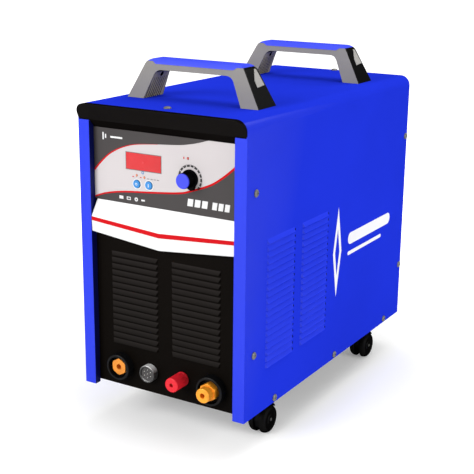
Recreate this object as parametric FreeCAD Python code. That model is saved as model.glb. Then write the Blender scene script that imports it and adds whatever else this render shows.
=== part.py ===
import FreeCAD, Part
import math
import os

# Inverter plasma cutter on four swivel casters, in millimetres.
# Origin: on the floor under the middle of the case. +Z up, -Y towards the operator, +X to the
# operator's right.

Vec = FreeCAD.Vector
X_AXIS = Vec(1, 0, 0)
Y_AXIS = Vec(0, 1, 0)
Z_AXIS = Vec(0, 0, 1)
OUT = Vec(0, -1, 0)
ORIGIN = Vec(0, 0, 0)

# ---- Driving dimensions -------------------------------------------------------------------
CASE_WIDTH = 320.0
CASE_DEPTH = 626.0
CASE_HEIGHT = 490.0
CASTER_HEIGHT = 72.0
HANDLE_HEIGHT = 66.0
SHEET = 1.5
CORNER_RADIUS = 19.0
FLANGE_WIDTH = 21.5
FLANGE_HEIGHT = 462.0
PANEL_RECESS = 13.0
PROTRUSION = 21.0
GAP = 0.2
RUNNING_GAP = 0.05
TRAY_RAISE = 5.5
TRAY_THICK = 2.0
TRAY_WALL = 20.0

# ---- Derived planes -----------------------------------------------------------------------
HALF_WIDTH = CASE_WIDTH / 2
FRONT = -CASE_DEPTH / 2
REAR = CASE_DEPTH / 2
BASE = CASTER_HEIGHT
TOP = BASE + CASE_HEIGHT
FLANGE_INNER = HALF_WIDTH - FLANGE_WIDTH
INNER_HALF = HALF_WIDTH - SHEET
PANEL = FRONT + PANEL_RECESS
FOREMOST = FRONT - PROTRUSION
REARMOST = REAR + 22.0
TRAY_LOW = BASE + TRAY_RAISE
TRAY_TOP = TRAY_LOW + TRAY_THICK
VISOR_SILL = BASE + FLANGE_HEIGHT + 1
VISOR_REAR = FRONT + 34

# ---- Louvres ------------------------------------------------------------------------------
LOUVRE_PITCH = 11.1
LOUVRE_RISE = 7.6
LOUVRE_DEPTH = 3.4
LOUVRE_SKIN = 1.0
LOUVRE_END_SLOPE = 3.0
LOUVRE_LIP = 0.5
RELIEF_RADIUS = 2.4
SIDE_LOUVRE_ROWS = 20
SIDE_LOUVRE_START = BASE + 73.0
SIDE_LOUVRE_SPANS = ((FRONT + 66.0, FRONT + 157.0), (FRONT + 186.0, FRONT + 280.0))
FRONT_LOUVRE_ROWS = 15
FRONT_LOUVRE_START = BASE + 81.0
FRONT_LOUVRE_SPANS = ((-107.5, -13.5), (13.5, 107.5))

# ---- Front panel and controls -------------------------------------------------------------
PANEL_THICK = 3.0
OVERLAY_THICK = 1.5
OVERLAY_FACE = PANEL - OVERLAY_THICK
OVERLAY_BOTTOM = BASE + 329.6
OVERLAY_TOP = BASE + 450.0
DISPLAY_CENTRE = (-38.8, BASE + 401.4)
DISPLAY_SIZE = (68.2, 27.0)
KNOB_CENTRE = (50.5, BASE + 386.0)
KNOB_HEIGHT = 22.5
KNOB_RADIUS = 12.5
KNOB_CAP_THICK = 2.4
KNOB_SPIGOT = 9.0
BUTTON_CENTRES = {"left": (-51.9, BASE + 364.7), "right": (-28.2, BASE + 365.2)}
BUTTON_RADIUS = 6.5
BUTTON_TRAVEL = 1.5
LED_CENTRES = ((46.7, BASE + 417.9), (-52.3, BASE + 378.8), (-37.3, BASE + 376.9))
LED_RADIUS = 1.9
BOARD_FRONT = PANEL + 12.0
BOARD_THICK = 1.6
BAND_LOW = {"end": BASE + 276.0, "middle": BASE + 264.0}
STRIPE = {"end": (BASE + 294.0, BASE + 301.0), "middle": (BASE + 285.0, BASE + 293.0)}
PROW = {"end": FRONT + 0.8, "middle": FRONT - 4.0}

# ---- Front connectors: (x, z) of each axis ------------------------------------------------
WORK_AXIS = (-89.0, BASE + 42.0)
CONTROL_AXIS = (-31.0, BASE + 41.5)
PILOT_AXIS = (33.5, BASE + 44.5)
TORCH_AXIS = (94.5, BASE + 41.0)
WORK_RING_RADIUS = 23.0
TORCH_RING_RADIUS = 25.0
RING_DEPTH = 16.0
RING_WALL = 4.2
WELL_FLOOR = 3.0
WORK_HEX_CORNER = 15.3
WORK_HEX_SET_BACK = 4.5
TORCH_HEX_CORNER = 16.0
TORCH_HEX_PROUD = 3.0
TORCH_NOSE_RADIUS = 12.4
CONTROL_SHELL_RADIUS = 15.0
CONTROL_DEPTH = 12.0
CONTROL_RIM = 2.4
POST_BASE_THICK = 4.0
POST_RADIUS = 12.4
POST_FRONT = FOREMOST + 1.0
STUD_SET_BACK = 6.0
SHANK_END = PANEL + 34.0
WORK_BORE = 5.0
TORCH_BORE = 4.5
BANANA_BORE = 2.05

# ---- Handles ------------------------------------------------------------------------------
HANDLE_PLACES = {"front": FRONT + 118.5, "rear": FRONT + 487.5}
HANDLE_TOP = TOP + HANDLE_HEIGHT
HANDLE_FOOT_HALF = 126.5
HANDLE_SHOULDER_HALF = 90.5
HANDLE_WINDOW_FOOT = 94.5
HANDLE_WINDOW_TOP_HALF = 72.8
HANDLE_WINDOW_HEIGHT = 48.0
HANDLE_FOOT_DEPTH = 57.0
HANDLE_TOP_DEPTH = 38.0
HANDLE_BOLT_STEP = 13.0
HANDLE_SHOULDER_RADIUS = 20.0
HANDLE_WINDOW_RADIUS = 15.0
GRIP_ROUND = 12.0
RIB_PITCH = 5.6
FACE_THICK = 3.0
GRIP_THICK = 8.5
GRIP_STEP = 4.0
GRIP_NOTCH = 81.0
GRIP_PROUD = 0.8

# ---- Casters ------------------------------------------------------------------------------
CASTER_X = 124.0
CASTER_Y = {"f": FRONT + 145.0, "r": FRONT + 511.0}
CASTER_SIDES = {"l": -1, "r": 1}
CASTER_TURN = {"fl": 0, "fr": 180, "rl": 0, "rr": 0}
CASTER_TRAIL = 20.0
WHEEL_RADIUS = 25.0
WHEEL_INNER = 5.5
WHEEL_OUTER = 17.0
HOOD_WEB = 4.8
HOOD_HEAD_RADIUS = 15.0
HOOD_HEAD_LOW = 57.0
PLATE_THICK = 2.5
PLATE_HALF = 28.0
BOLT_OFFSET = 21.0
AXLE_RADIUS = 3.0
KINGPIN_RADIUS = 5.0

# ---- Rear panel ---------------------------------------------------------------------------
REAR_PLATE = REAR - 3.5
REAR_THICK = 2.0
FAN_CENTRE = (0.0, BASE + 285.0)
FAN_SIZE = 200.0
FAN_DEPTH = 50.0
FAN_RADIUS = 92.0
BREAKER_CENTRE = (-92.0, BASE + 438.0)
BREAKER_SIZE = (54.0, 46.0)
GLAND_AXIS = (92.0, BASE + 438.0)
GLAND_BORE = 8.0
AIR_AXIS = (92.0, BASE + 90.0)
AIR_BARB = 5.0
EARTH_AXIS = (-92.0, BASE + 90.0)
LEVER_PIVOT = REAR_PLATE + REAR_THICK + 1.0
LEVER_WIDTH = 44.0

# ---- Screws -------------------------------------------------------------------------------
SCREW_RADIUS = 2.4
SCREW_HOLE = 2.7
SCREW_HEAD = 6.2
SCREW_HEAD_HEIGHT = 3.2
SCREW_LENGTH = 10.0
BOLT_HOLE = 3.3
BOLT_RADIUS = 3.0
SIDE_SCREWS = [(FRONT + 28.0, BASE + 374.0), (FRONT + 28.0, BASE + 108.0),
               (FRONT + 100.0, BASE + 8.0), (FRONT + 326.0, BASE + 8.0),
               (FRONT + 552.0, BASE + 8.0), (REAR - 9.0, BASE + 106.0),
               (REAR - 9.0, BASE + 372.0)]
TOP_SCREWS = [FRONT + 24.0, REAR - 9.0]

# ---- Inside -------------------------------------------------------------------------------
SINK_FEET = 30.0
FIN_HEIGHT = 40.0
SINK_BASE = 10.0
SINK_TOP = TRAY_TOP + SINK_FEET + FIN_HEIGHT + SINK_BASE
SINK_HALF_WIDTH = 70.0
SINK_SPAN = (-150.0, 130.0)
FIN_COUNT = 15
FIN_THICK = 3.0
CORE_MIDDLE = (-113.0, 40.0)
CHOKE_MIDDLE = (112.0, 60.0)
CHOKE_RADIUS = 56.0
CHOKE_BORE = 24.0


# ---- Helpers ------------------------------------------------------------------------------
def box(x0, x1, y0, y1, z0, z1):
    """Block between two corners."""
    return Part.makeBox(x1 - x0, y1 - y0, z1 - z0, Vec(x0, y0, z0))


def rod(start, axis, radius, length):
    """Cylinder from start along axis."""
    return Part.makeCylinder(radius, length, start, axis)


def rod_y(centre, radius, y0, y1):
    """Cylinder along Y between two planes, on an (x, z) axis."""
    return rod(Vec(centre[0], y0, centre[1]), Y_AXIS, radius, y1 - y0)


def rounded_face(points, radii):
    """Planar face through 3-D points, each corner rounded by its radius (0 keeps it sharp)."""
    count = len(points)
    corners = []
    for i, here in enumerate(points):
        to_last = (points[i - 1] - here).normalize()
        to_next = (points[(i + 1) % count] - here).normalize()
        if not radii[i]:
            corners.append((here, None, here))
            continue
        half = to_last.getAngle(to_next) / 2
        reach = radii[i] / math.tan(half)
        bisector = (to_last + to_next).normalize()
        middle = here + bisector * (radii[i] / math.sin(half) - radii[i])
        corners.append((here + to_last * reach, middle, here + to_next * reach))
    edges = []
    for i, (start, middle, end) in enumerate(corners):
        if middle is not None:
            edges.append(Part.Arc(start, middle, end).toShape())
        edges.append(Part.makeLine(end, corners[(i + 1) % count][0]))
    return Part.Face(Part.Wire(edges))


def prism_y(points, y0, y1, radii=None):
    """Outline given as (x, z) points, extruded along Y."""
    corners = [Vec(x, y0, z) for x, z in points]
    return rounded_face(corners, radii or [0] * len(points)).extrude(Vec(0, y1 - y0, 0))


def prism_x(points, x0, x1, radii=None):
    """Outline given as (y, z) points, extruded along X."""
    corners = [Vec(x0, y, z) for y, z in points]
    return rounded_face(corners, radii or [0] * len(points)).extrude(Vec(x1 - x0, 0, 0))


def hexagon_y(centre, corner_radius, y0, y1):
    """Hexagonal bar along Y, one corner straight up."""
    points = []
    for i in range(6):
        angle = math.radians(90 + 60 * i)
        points.append((centre[0] + corner_radius * math.cos(angle),
                       centre[1] + corner_radius * math.sin(angle)))
    return prism_y(points, y0, y1)


def union(shapes):
    """One solid from touching or overlapping shapes."""
    return shapes[0].fuse(shapes[1:]).removeSplitter()


def turned(profile, origin, axis):
    """Solid of revolution: profile is (radius, distance along axis), from axis back to axis."""
    side = X_AXIS if abs(axis.x) < 0.5 else Y_AXIS
    points = [origin + side * r + axis * d for r, d in profile]
    face = Part.Face(Part.makePolygon(points + [points[0]]))
    return face.revolve(origin, axis, 360)


def edges_where(shape, test):
    """Edges whose every vertex passes the test."""
    return [e for e in shape.Edges if e.Vertexes and all(test(v.Point) for v in e.Vertexes)]


def save(name, shape):
    """Write one node."""
    if not shape.isValid():
        raise ValueError(name + " is not a valid shape")
    shape.exportStep("parts/" + name + ".step")


def mirrored(shape):
    """The same piece on the other side of the unit."""
    return shape.mirror(ORIGIN, X_AXIS)


# ---- Case ---------------------------------------------------------------------------------
def case_outline(inset, bottom):
    """Arched case section, inset from the outside of the sheet."""
    half = HALF_WIDTH - inset
    points = [(-half, bottom), (-half, TOP - inset), (half, TOP - inset), (half, bottom)]
    return points, [0, CORNER_RADIUS - inset, CORNER_RADIUS - inset, 0]


def case_block(inset, bottom, y0, y1):
    points, radii = case_outline(inset, bottom)
    return prism_y(points, y0, y1, radii)


def louvre(length, wall):
    """Pressed louvre at the origin: length along X, mouth at Z = 0 facing down, bulging to +Y.
    Returns the bulge and the two tools that hollow it through the wall."""
    bulge = Part.makeWedge(0, 0, 0, 0, LOUVRE_END_SLOPE,
                           length, LOUVRE_DEPTH, LOUVRE_RISE, LOUVRE_LIP, length - LOUVRE_END_SLOPE)
    inner = length - LOUVRE_SKIN
    hollow = Part.makeWedge(LOUVRE_SKIN, -0.01, -0.3, -0.3, LOUVRE_END_SLOPE + LOUVRE_SKIN,
                            inner, LOUVRE_DEPTH - LOUVRE_SKIN, LOUVRE_RISE - LOUVRE_SKIN,
                            LOUVRE_LIP, inner - LOUVRE_END_SLOPE)
    slot = box(LOUVRE_SKIN, inner, -wall - 0.5, 0, -0.3, LOUVRE_RISE - LOUVRE_SKIN)
    return bulge, [hollow, slot]


def placed(shape, origin, turn):
    """Copy turned about Z by degrees, then moved to origin."""
    copy = shape.copy()
    copy.Placement = FreeCAD.Placement(origin, FreeCAD.Rotation(Z_AXIS, turn))
    return copy


def side_louvres():
    """Bulges and hollowing tools of the right-hand side."""
    bulges = []
    tools = []
    for start, end in SIDE_LOUVRE_SPANS:
        bulge, hollows = louvre(end - start, SHEET)
        for row in range(SIDE_LOUVRE_ROWS):
            z = SIDE_LOUVRE_START + row * LOUVRE_PITCH
            spot = Vec(HALF_WIDTH, end, z)
            bulges.append(placed(bulge, spot, -90))
            tools += [placed(h, spot, -90) for h in hollows]
            relief = Vec(HALF_WIDTH - SHEET - 1, end + RELIEF_RADIUS, z + RELIEF_RADIUS)
            tools.append(rod(relief, X_AXIS, RELIEF_RADIUS, SHEET + 2))
    return bulges, tools


def screw_holes(radius):
    """Clearance for every cover screw."""
    holes = []
    for y, z in SIDE_SCREWS:
        for side in (-1, 1):
            start = Vec(side * (HALF_WIDTH - 12), y, z)
            holes.append(rod(start, Vec(side, 0, 0), radius, 14))
    for y in TOP_SCREWS:
        holes.append(rod(Vec(0, y, TOP - 12), Z_AXIS, radius, 14))
    return holes


def handle_bolt_spots():
    """(x, y) of every bolt that holds a handle foot."""
    middle = (HANDLE_FOOT_HALF + HANDLE_WINDOW_FOOT) / 2 - 2
    return [(side * middle, place + step)
            for place in HANDLE_PLACES.values() for side in (-1, 1)
            for step in (-HANDLE_BOLT_STEP, HANDLE_BOLT_STEP)]


def outer_cover():
    """One bent sheet: top, both sides, front flanges and their inner returns."""
    shell = case_block(0, BASE, FRONT, REAR).cut(case_block(SHEET, BASE - 1, FRONT - 1, REAR + 1))
    flange = box(FLANGE_INNER, INNER_HALF, FRONT, FRONT + SHEET, BASE, BASE + FLANGE_HEIGHT)
    lip = box(FLANGE_INNER, FLANGE_INNER + SHEET, FRONT, PANEL - GAP / 2, BASE,
              BASE + FLANGE_HEIGHT)
    bulges, tools = side_louvres()
    right = [flange, lip] + bulges
    body = shell.fuse(right + [mirrored(s) for s in right])
    holes = screw_holes(SCREW_HOLE)
    holes += [rod(Vec(x, y, TOP - SHEET - 1), Z_AXIS, BOLT_HOLE, SHEET + 2)
              for x, y in handle_bolt_spots()]
    return body.cut(tools + [mirrored(s) for s in tools] + holes)


def caster_centres():
    """Swivel axis (x, y) of each caster, by its short name."""
    return {end + side: (sign * CASTER_X, y)
            for end, y in CASTER_Y.items() for side, sign in CASTER_SIDES.items()}


def caster_bolt_spots():
    return [(x + i * BOLT_OFFSET, y + j * BOLT_OFFSET)
            for x, y in caster_centres().values() for i in (-1, 1) for j in (-1, 1)]


def base_tray():
    """Floor pan set up inside the cover, with side walls that take the lower cover screws."""
    half = INNER_HALF - GAP
    floor = box(-half, half, PANEL + PANEL_THICK + GAP, REAR - 1.5, TRAY_LOW, TRAY_TOP)
    wall = box(half - TRAY_THICK, half, FRONT + 40, REAR - 20, BASE, BASE + TRAY_WALL)
    tray = union([floor, wall, mirrored(wall)])
    holes = [rod(Vec(x, y, TRAY_LOW - 1), Z_AXIS, BOLT_HOLE, TRAY_THICK + 2)
             for x, y in caster_bolt_spots()]
    return tray.cut(holes + screw_holes(SCREW_HOLE))


# ---- Front ---------------------------------------------------------------------------------
def front_panel():
    """Black moulding behind the flanges: louvres, board window and connector holes."""
    half = INNER_HALF - GAP
    high = VISOR_SILL - GAP
    rear = PANEL + PANEL_THICK
    plate = box(-half, half, PANEL, rear, TRAY_LOW, high)
    ear = box(half - 2, half, rear, FRONT + 38, TRAY_TOP + GAP, high)
    bulges = []
    tools = []
    for start, end in FRONT_LOUVRE_SPANS:
        bulge, hollows = louvre(end - start, PANEL_THICK)
        for row in range(FRONT_LOUVRE_ROWS):
            spot = Vec(end, PANEL, FRONT_LOUVRE_START + row * LOUVRE_PITCH)
            bulges.append(placed(bulge, spot, 180))
            tools += [placed(h, spot, 180) for h in hollows]
    body = plate.fuse([ear, mirrored(ear)] + bulges)
    window = box(-118, 118, PANEL - 1, rear + 1, OVERLAY_BOTTOM + 14, OVERLAY_TOP - 12)
    front, back = PANEL - 1, rear + 1
    holes = [rod_y(WORK_AXIS, 16.1, front, back), rod_y(CONTROL_AXIS, 10.1, front, back),
             rod_y(PILOT_AXIS, 5.1, front, back), rod_y(TORCH_AXIS, 18.1, front, back)]
    return body.cut(tools + [window] + holes + screw_holes(SCREW_HOLE))


def visor():
    """Hood above the controls, flush with the cover's top and leaning out over the panel."""
    section = [(FRONT - 12, TOP), (FRONT + 0.6, VISOR_SILL), (VISOR_REAR, VISOR_SILL),
               (VISOR_REAR, TOP)]
    hood = prism_x(section, -HALF_WIDTH, HALF_WIDTH)
    nose = case_block(0, BASE, FRONT - 30, FRONT - GAP)
    hood = hood.common(nose.fuse(case_block(SHEET + GAP, BASE, FRONT - 30, REAR)))
    lip_half = FLANGE_INNER - GAP
    lip = prism_x([(FRONT + 0.6, VISOR_SILL), (PANEL - GAP, OVERLAY_TOP + 0.5),
                   (PANEL - GAP, VISOR_SILL)], -lip_half, lip_half)
    wall = 2.5
    pocket = box(-HALF_WIDTH + 6, HALF_WIDTH - 6, FRONT + 3, VISOR_REAR + 1,
                 VISOR_SILL + wall, TOP - SHEET - GAP - wall)
    boss = rod(Vec(0, TOP_SCREWS[0], VISOR_SILL + 1), Z_AXIS, 6, TOP - SHEET - 2 - VISOR_SILL)
    body = union([hood, lip]).cut(pocket).fuse(boss)
    front_edges = edges_where(body, lambda p: p.y < FRONT - 8)
    body = body.makeFillet(0.8, front_edges)
    return body.cut(screw_holes(SCREW_HOLE))


def control_panel():
    """Printed overlay plate with its window and holes."""
    half = FLANGE_INNER - GAP
    plate = box(-half, half, OVERLAY_FACE, PANEL, OVERLAY_BOTTOM, OVERLAY_TOP)
    front, back = OVERLAY_FACE - 1, PANEL + 1
    x, z = DISPLAY_CENTRE
    width, height = DISPLAY_SIZE
    holes = [box(x - width / 2 - GAP / 2, x + width / 2 + GAP / 2, front, back,
                 z - height / 2 - GAP / 2, z + height / 2 + GAP / 2),
             rod_y(KNOB_CENTRE, 4, front, back)]
    holes += [rod_y(c, BUTTON_RADIUS + GAP, front, back) for c in BUTTON_CENTRES.values()]
    holes += [rod_y(c, LED_RADIUS + 0.1, front, back) for c in LED_CENTRES]
    return plate.cut(holes)


def band_half():
    """Right half of the chevron band, a loft from the middle to the flange."""
    half = FLANGE_INNER - GAP
    sections = []
    for where, x in (("middle", 0), ("end", half)):
        low, high = STRIPE[where]
        outline = [Vec(x, PANEL, BAND_LOW[where]), Vec(x, PANEL, OVERLAY_BOTTOM - GAP),
                   Vec(x, OVERLAY_FACE, OVERLAY_BOTTOM - GAP), Vec(x, PROW[where], high),
                   Vec(x, PROW[where], low), Vec(x, PROW[where] + 0.8, BAND_LOW[where])]
        sections.append(Part.makePolygon(outline + [outline[0]]))
    block = Part.makeLoft(sections, True, True)
    corner = [Vec(half + 1, PANEL + 1, 0), Vec(half - 6, PANEL + 1, 0), Vec(half + 1, FRONT, 0)]
    chamfer = Part.Face(Part.makePolygon(corner + [corner[0]])).extrude(Vec(0, 0, TOP))
    return block.cut(chamfer)


def chevron_band():
    """White trim across the front with a prow at its middle."""
    right = band_half()
    return union([right, mirrored(right)])


def display_window():
    x, z = DISPLAY_CENTRE
    width, height = DISPLAY_SIZE
    pane = box(x - width / 2, x + width / 2, OVERLAY_FACE - 0.4, PANEL, z - height / 2,
               z + height / 2)
    return pane.makeFillet(0.3, edges_where(pane, lambda p: p.y < OVERLAY_FACE))


def display_module():
    """Three-digit display block, standing on the control board."""
    x, z = DISPLAY_CENTRE
    return box(x - 30, x + 30, PANEL + 1.5, BOARD_FRONT, z - 11, z + 11)


def control_board():
    """Printed circuit board with its push switches, relay and connector."""
    board = box(-112, 112, BOARD_FRONT, BOARD_FRONT + BOARD_THICK, OVERLAY_BOTTOM + 16,
                OVERLAY_TOP - 14)
    parts = [board]
    for x, z in BUTTON_CENTRES.values():
        parts.append(box(x - 3, x + 3, BOARD_FRONT - 4, BOARD_FRONT, z - 3, z + 3))
    back = BOARD_FRONT + BOARD_THICK
    parts.append(box(-90, -60, back, back + 12, OVERLAY_BOTTOM + 30, OVERLAY_BOTTOM + 48))
    parts.append(box(-30, 10, back, back + 5, OVERLAY_BOTTOM + 60, OVERLAY_BOTTOM + 72))
    board = union(parts)
    return board.cut(rod_y(KNOB_CENTRE, 4.2, BOARD_FRONT - 1, back + 1))


def potentiometer():
    """Body behind the board, bushing through it and the plain shaft."""
    back = BOARD_FRONT + BOARD_THICK
    return union([rod_y(KNOB_CENTRE, 8, back, back + 9),
                  rod_y(KNOB_CENTRE, 4, BOARD_FRONT - 4, back),
                  rod_y(KNOB_CENTRE, 3, OVERLAY_FACE - KNOB_HEIGHT + KNOB_CAP_THICK + 5,
                        BOARD_FRONT - 4)])


def current_knob():
    """Black fluted knob on a wider skirt, its front closed by the coloured cap."""
    face = OVERLAY_FACE - KNOB_HEIGHT + KNOB_CAP_THICK
    foot = OVERLAY_FACE - 0.4
    skirt = rod_y(KNOB_CENTRE, KNOB_RADIUS + 2.5, foot - 4, foot)
    skirt = skirt.makeChamfer(1.5, edges_where(skirt, lambda p: p.y < foot - 3))
    start = Vec(KNOB_CENTRE[0], foot - 3.6, KNOB_CENTRE[1])
    grip = Part.makeCone(KNOB_RADIUS + 0.8, KNOB_RADIUS, foot - 3.6 - face, start, OUT)
    flutes = []
    for i in range(24):
        angle = math.radians(15 * i)
        reach = KNOB_RADIUS + 1.1
        spot = (KNOB_CENTRE[0] + reach * math.cos(angle), KNOB_CENTRE[1] + reach * math.sin(angle))
        flutes.append(rod_y(spot, 1.1, face + 2, foot - 4))
    bore = rod_y(KNOB_CENTRE, 3 + RUNNING_GAP, face + 4, OVERLAY_FACE + 1)
    seat = rod_y(KNOB_CENTRE, KNOB_SPIGOT, face - 1, face + 2)
    return union([skirt, grip]).cut(flutes + [bore, seat])


def knob_cap():
    """Coloured cap over the knob's face, on a spigot."""
    front = OVERLAY_FACE - KNOB_HEIGHT
    back = front + KNOB_CAP_THICK
    disc = rod_y(KNOB_CENTRE, KNOB_RADIUS - 0.5, front, back)
    disc = disc.makeFillet(1.0, edges_where(disc, lambda p: p.y < front + 1))
    return union([disc, rod_y(KNOB_CENTRE, KNOB_SPIGOT, back, back + 1.8)])


def button(centre):
    """Push button: round head through the overlay, collar and stem behind it."""
    head = rod_y(centre, BUTTON_RADIUS, OVERLAY_FACE - 2.4, PANEL + 0.5)
    head = head.makeFillet(0.7, edges_where(head, lambda p: p.y < OVERLAY_FACE))
    collar = rod_y(centre, BUTTON_RADIUS + 1.2, PANEL + 0.1, PANEL + 1.6)
    stem = rod_y(centre, 2, PANEL + 1, BOARD_FRONT - 4 - BUTTON_TRAVEL - 0.1)
    return union([head, collar, stem])


def indicator_leds():
    """Three round lamps on the control board."""
    lamps = []
    for centre in LED_CENTRES:
        body = rod_y(centre, LED_RADIUS, OVERLAY_FACE, BOARD_FRONT)
        dome = Part.makeSphere(LED_RADIUS, Vec(centre[0], OVERLAY_FACE, centre[1]))
        rim = rod_y(centre, LED_RADIUS + 0.4, PANEL + 2, PANEL + 3)
        lamps.append(union([body, dome, rim]))
    return Part.makeCompound(lamps)


# ---- Front connectors ----------------------------------------------------------------------
def socket_housing(axis, radius, neck, bore):
    """Insulating ring in front of the panel, with a threaded neck through it."""
    face = PANEL - RING_DEPTH
    ring = rod_y(axis, radius, face, PANEL)
    ring = ring.makeFillet(1.8, edges_where(ring, lambda p: p.y < face + 1))
    body = union([ring, rod_y(axis, neck, PANEL, PANEL + 14)])
    nut = rod_y(axis, neck + 5, PANEL + PANEL_THICK, PANEL + 11)
    well = rod_y(axis, radius - RING_WALL, face - 1, PANEL - WELL_FLOOR)
    return union([body, nut]).cut([well, rod_y(axis, bore, face, PANEL + 20)])


def brass_hexagon(axis, corner, face):
    """Hexagon from its chamfered face back to the floor of the socket's well."""
    head = hexagon_y(axis, corner, face, PANEL - WELL_FLOOR)
    chamfer = Part.makeCone(corner - 1.4, corner + 22.6, 24, Vec(axis[0], face, axis[1]), Y_AXIS)
    return head.common(chamfer)


def work_socket_contact():
    """Brass hexagon in the ring's well, shank through it, bored for the work lead."""
    face = PANEL - RING_DEPTH + WORK_HEX_SET_BACK
    head = brass_hexagon(WORK_AXIS, WORK_HEX_CORNER, face)
    shank = rod_y(WORK_AXIS, 8, PANEL - WELL_FLOOR, SHANK_END)
    bore = rod_y(WORK_AXIS, WORK_BORE, face - 1, face + 15)
    return union([head, shank]).cut(bore)


def torch_socket_fitting():
    """Brass fitting for the torch lead and its air: hexagon, long round nose, shank."""
    tip = FOREMOST
    face = PANEL - RING_DEPTH - TORCH_HEX_PROUD
    nose = rod_y(TORCH_AXIS, TORCH_NOSE_RADIUS, tip, PANEL - WELL_FLOOR)
    nose = nose.makeFillet(1.4, edges_where(nose, lambda p: p.y < tip + 1))
    shank = rod_y(TORCH_AXIS, 9, PANEL - WELL_FLOOR, SHANK_END)
    body = union([nose, brass_hexagon(TORCH_AXIS, TORCH_HEX_CORNER, face), shank])
    return body.cut(rod_y(TORCH_AXIS, TORCH_BORE, tip - 1, PANEL + 4))


def control_socket_shell():
    """Plated ring of the multi-pin socket."""
    face = PANEL - CONTROL_DEPTH
    ring = rod_y(CONTROL_AXIS, CONTROL_SHELL_RADIUS, face, PANEL)
    ring = ring.makeFillet(1.2, edges_where(ring, lambda p: p.y < face + 1))
    body = union([ring, rod_y(CONTROL_AXIS, 10, PANEL, PANEL + 12)])
    well = CONTROL_SHELL_RADIUS - CONTROL_RIM
    return body.cut([rod_y(CONTROL_AXIS, well, face - 1, PANEL - 2),
                     rod_y(CONTROL_AXIS, 7.5, PANEL - 3, PANEL + 13)])


def control_socket_insert():
    """Insulator with seven pin holes and a keyway."""
    face = PANEL - CONTROL_DEPTH + 2.5
    radius = CONTROL_SHELL_RADIUS - CONTROL_RIM - 0.1
    plug = rod_y(CONTROL_AXIS, radius, face, PANEL - 2)
    plug = union([plug, rod_y(CONTROL_AXIS, 7.4, PANEL - 2, PANEL + 14)])
    holes = [rod_y(CONTROL_AXIS, 1.5, face - 1, face + 6)]
    for i in range(6):
        angle = math.radians(60 * i + 30)
        spot = (CONTROL_AXIS[0] + 7 * math.cos(angle), CONTROL_AXIS[1] + 7 * math.sin(angle))
        holes.append(rod_y(spot, 1.5, face - 1, face + 6))
    key = box(CONTROL_AXIS[0] - 1.4, CONTROL_AXIS[0] + 1.4, face - 1, face + 4,
              CONTROL_AXIS[1] + radius - 2, CONTROL_AXIS[1] + radius + 1)
    return plug.cut(holes + [key])


def pilot_post_base():
    """Insulating foot of the binding post."""
    foot = rod_y(PILOT_AXIS, POST_RADIUS, PANEL - POST_BASE_THICK, PANEL)
    foot = foot.makeFillet(1.0, edges_where(foot, lambda p: p.y < PANEL - 3))
    neck = rod_y(PILOT_AXIS, 5, PANEL, PANEL + PANEL_THICK)
    washer = rod_y(PILOT_AXIS, 11, PANEL + PANEL_THICK, PANEL + PANEL_THICK + 3)
    return union([foot, neck, washer]).cut(rod_y(PILOT_AXIS, 3.6, PANEL - 6, PANEL + 8))


def pilot_post_stud():
    """Metal stud, bored for a 4 mm plug at its front end."""
    tip = POST_FRONT + STUD_SET_BACK
    stud = rod_y(PILOT_AXIS, 3.5, tip, PANEL + 18)
    nut = hexagon_y(PILOT_AXIS, 6.4, PANEL + PANEL_THICK + 3, PANEL + PANEL_THICK + 8)
    return union([stud, nut]).cut(rod_y(PILOT_AXIS, BANANA_BORE, tip - 1, tip + 18))


def pilot_post_cap():
    """Turning cap of the binding post, open at its front, with finger flutes at its rear half."""
    back = PANEL - POST_BASE_THICK - 0.3
    cap = rod_y(PILOT_AXIS, POST_RADIUS, POST_FRONT, back)
    cap = cap.makeFillet(1.8, edges_where(cap, lambda p: p.y < POST_FRONT + 1))
    flutes = []
    for i in range(10):
        angle = math.radians(36 * i)
        reach = POST_RADIUS + 3.2
        spot = (PILOT_AXIS[0] + reach * math.cos(angle), PILOT_AXIS[1] + reach * math.sin(angle))
        flutes.append(rod_y(spot, 4, back - 11, back + 1))
    return cap.cut(flutes + [rod_y(PILOT_AXIS, 3.5 + RUNNING_GAP, POST_FRONT - 1, back + 1)])


# ---- Handles -------------------------------------------------------------------------------
def handle_depth(z, inset):
    """Half the handle's depth at height z, inset from its faces."""
    share = (z - TOP) / HANDLE_HEIGHT
    return (HANDLE_FOOT_DEPTH + share * (HANDLE_TOP_DEPTH - HANDLE_FOOT_DEPTH)) / 2 - inset


def handle_wedge(inset, low, high):
    """Full-width block whose front and back lean in as it rises."""
    section = [(-handle_depth(low, inset), low), (handle_depth(low, inset), low),
               (handle_depth(high, inset), high), (-handle_depth(high, inset), high)]
    return prism_x(section, -HALF_WIDTH, HALF_WIDTH)


def handle_arch():
    """Arch outline with its hand window, along the full depth."""
    outer = [(-HANDLE_FOOT_HALF, TOP), (-HANDLE_SHOULDER_HALF, HANDLE_TOP),
             (HANDLE_SHOULDER_HALF, HANDLE_TOP), (HANDLE_FOOT_HALF, TOP)]
    sill = TOP - 1
    window_top = TOP + HANDLE_WINDOW_HEIGHT
    inner = [(-HANDLE_WINDOW_FOOT, sill), (-HANDLE_WINDOW_TOP_HALF, window_top),
             (HANDLE_WINDOW_TOP_HALF, window_top), (HANDLE_WINDOW_FOOT, sill)]
    round_out, round_in = HANDLE_SHOULDER_RADIUS, HANDLE_WINDOW_RADIUS
    solid = prism_y(outer, -30, 30, [0, round_out, round_out, 0])
    return solid.cut(prism_y(inner, -31, 31, [0, round_in, round_in, 0]))


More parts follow.
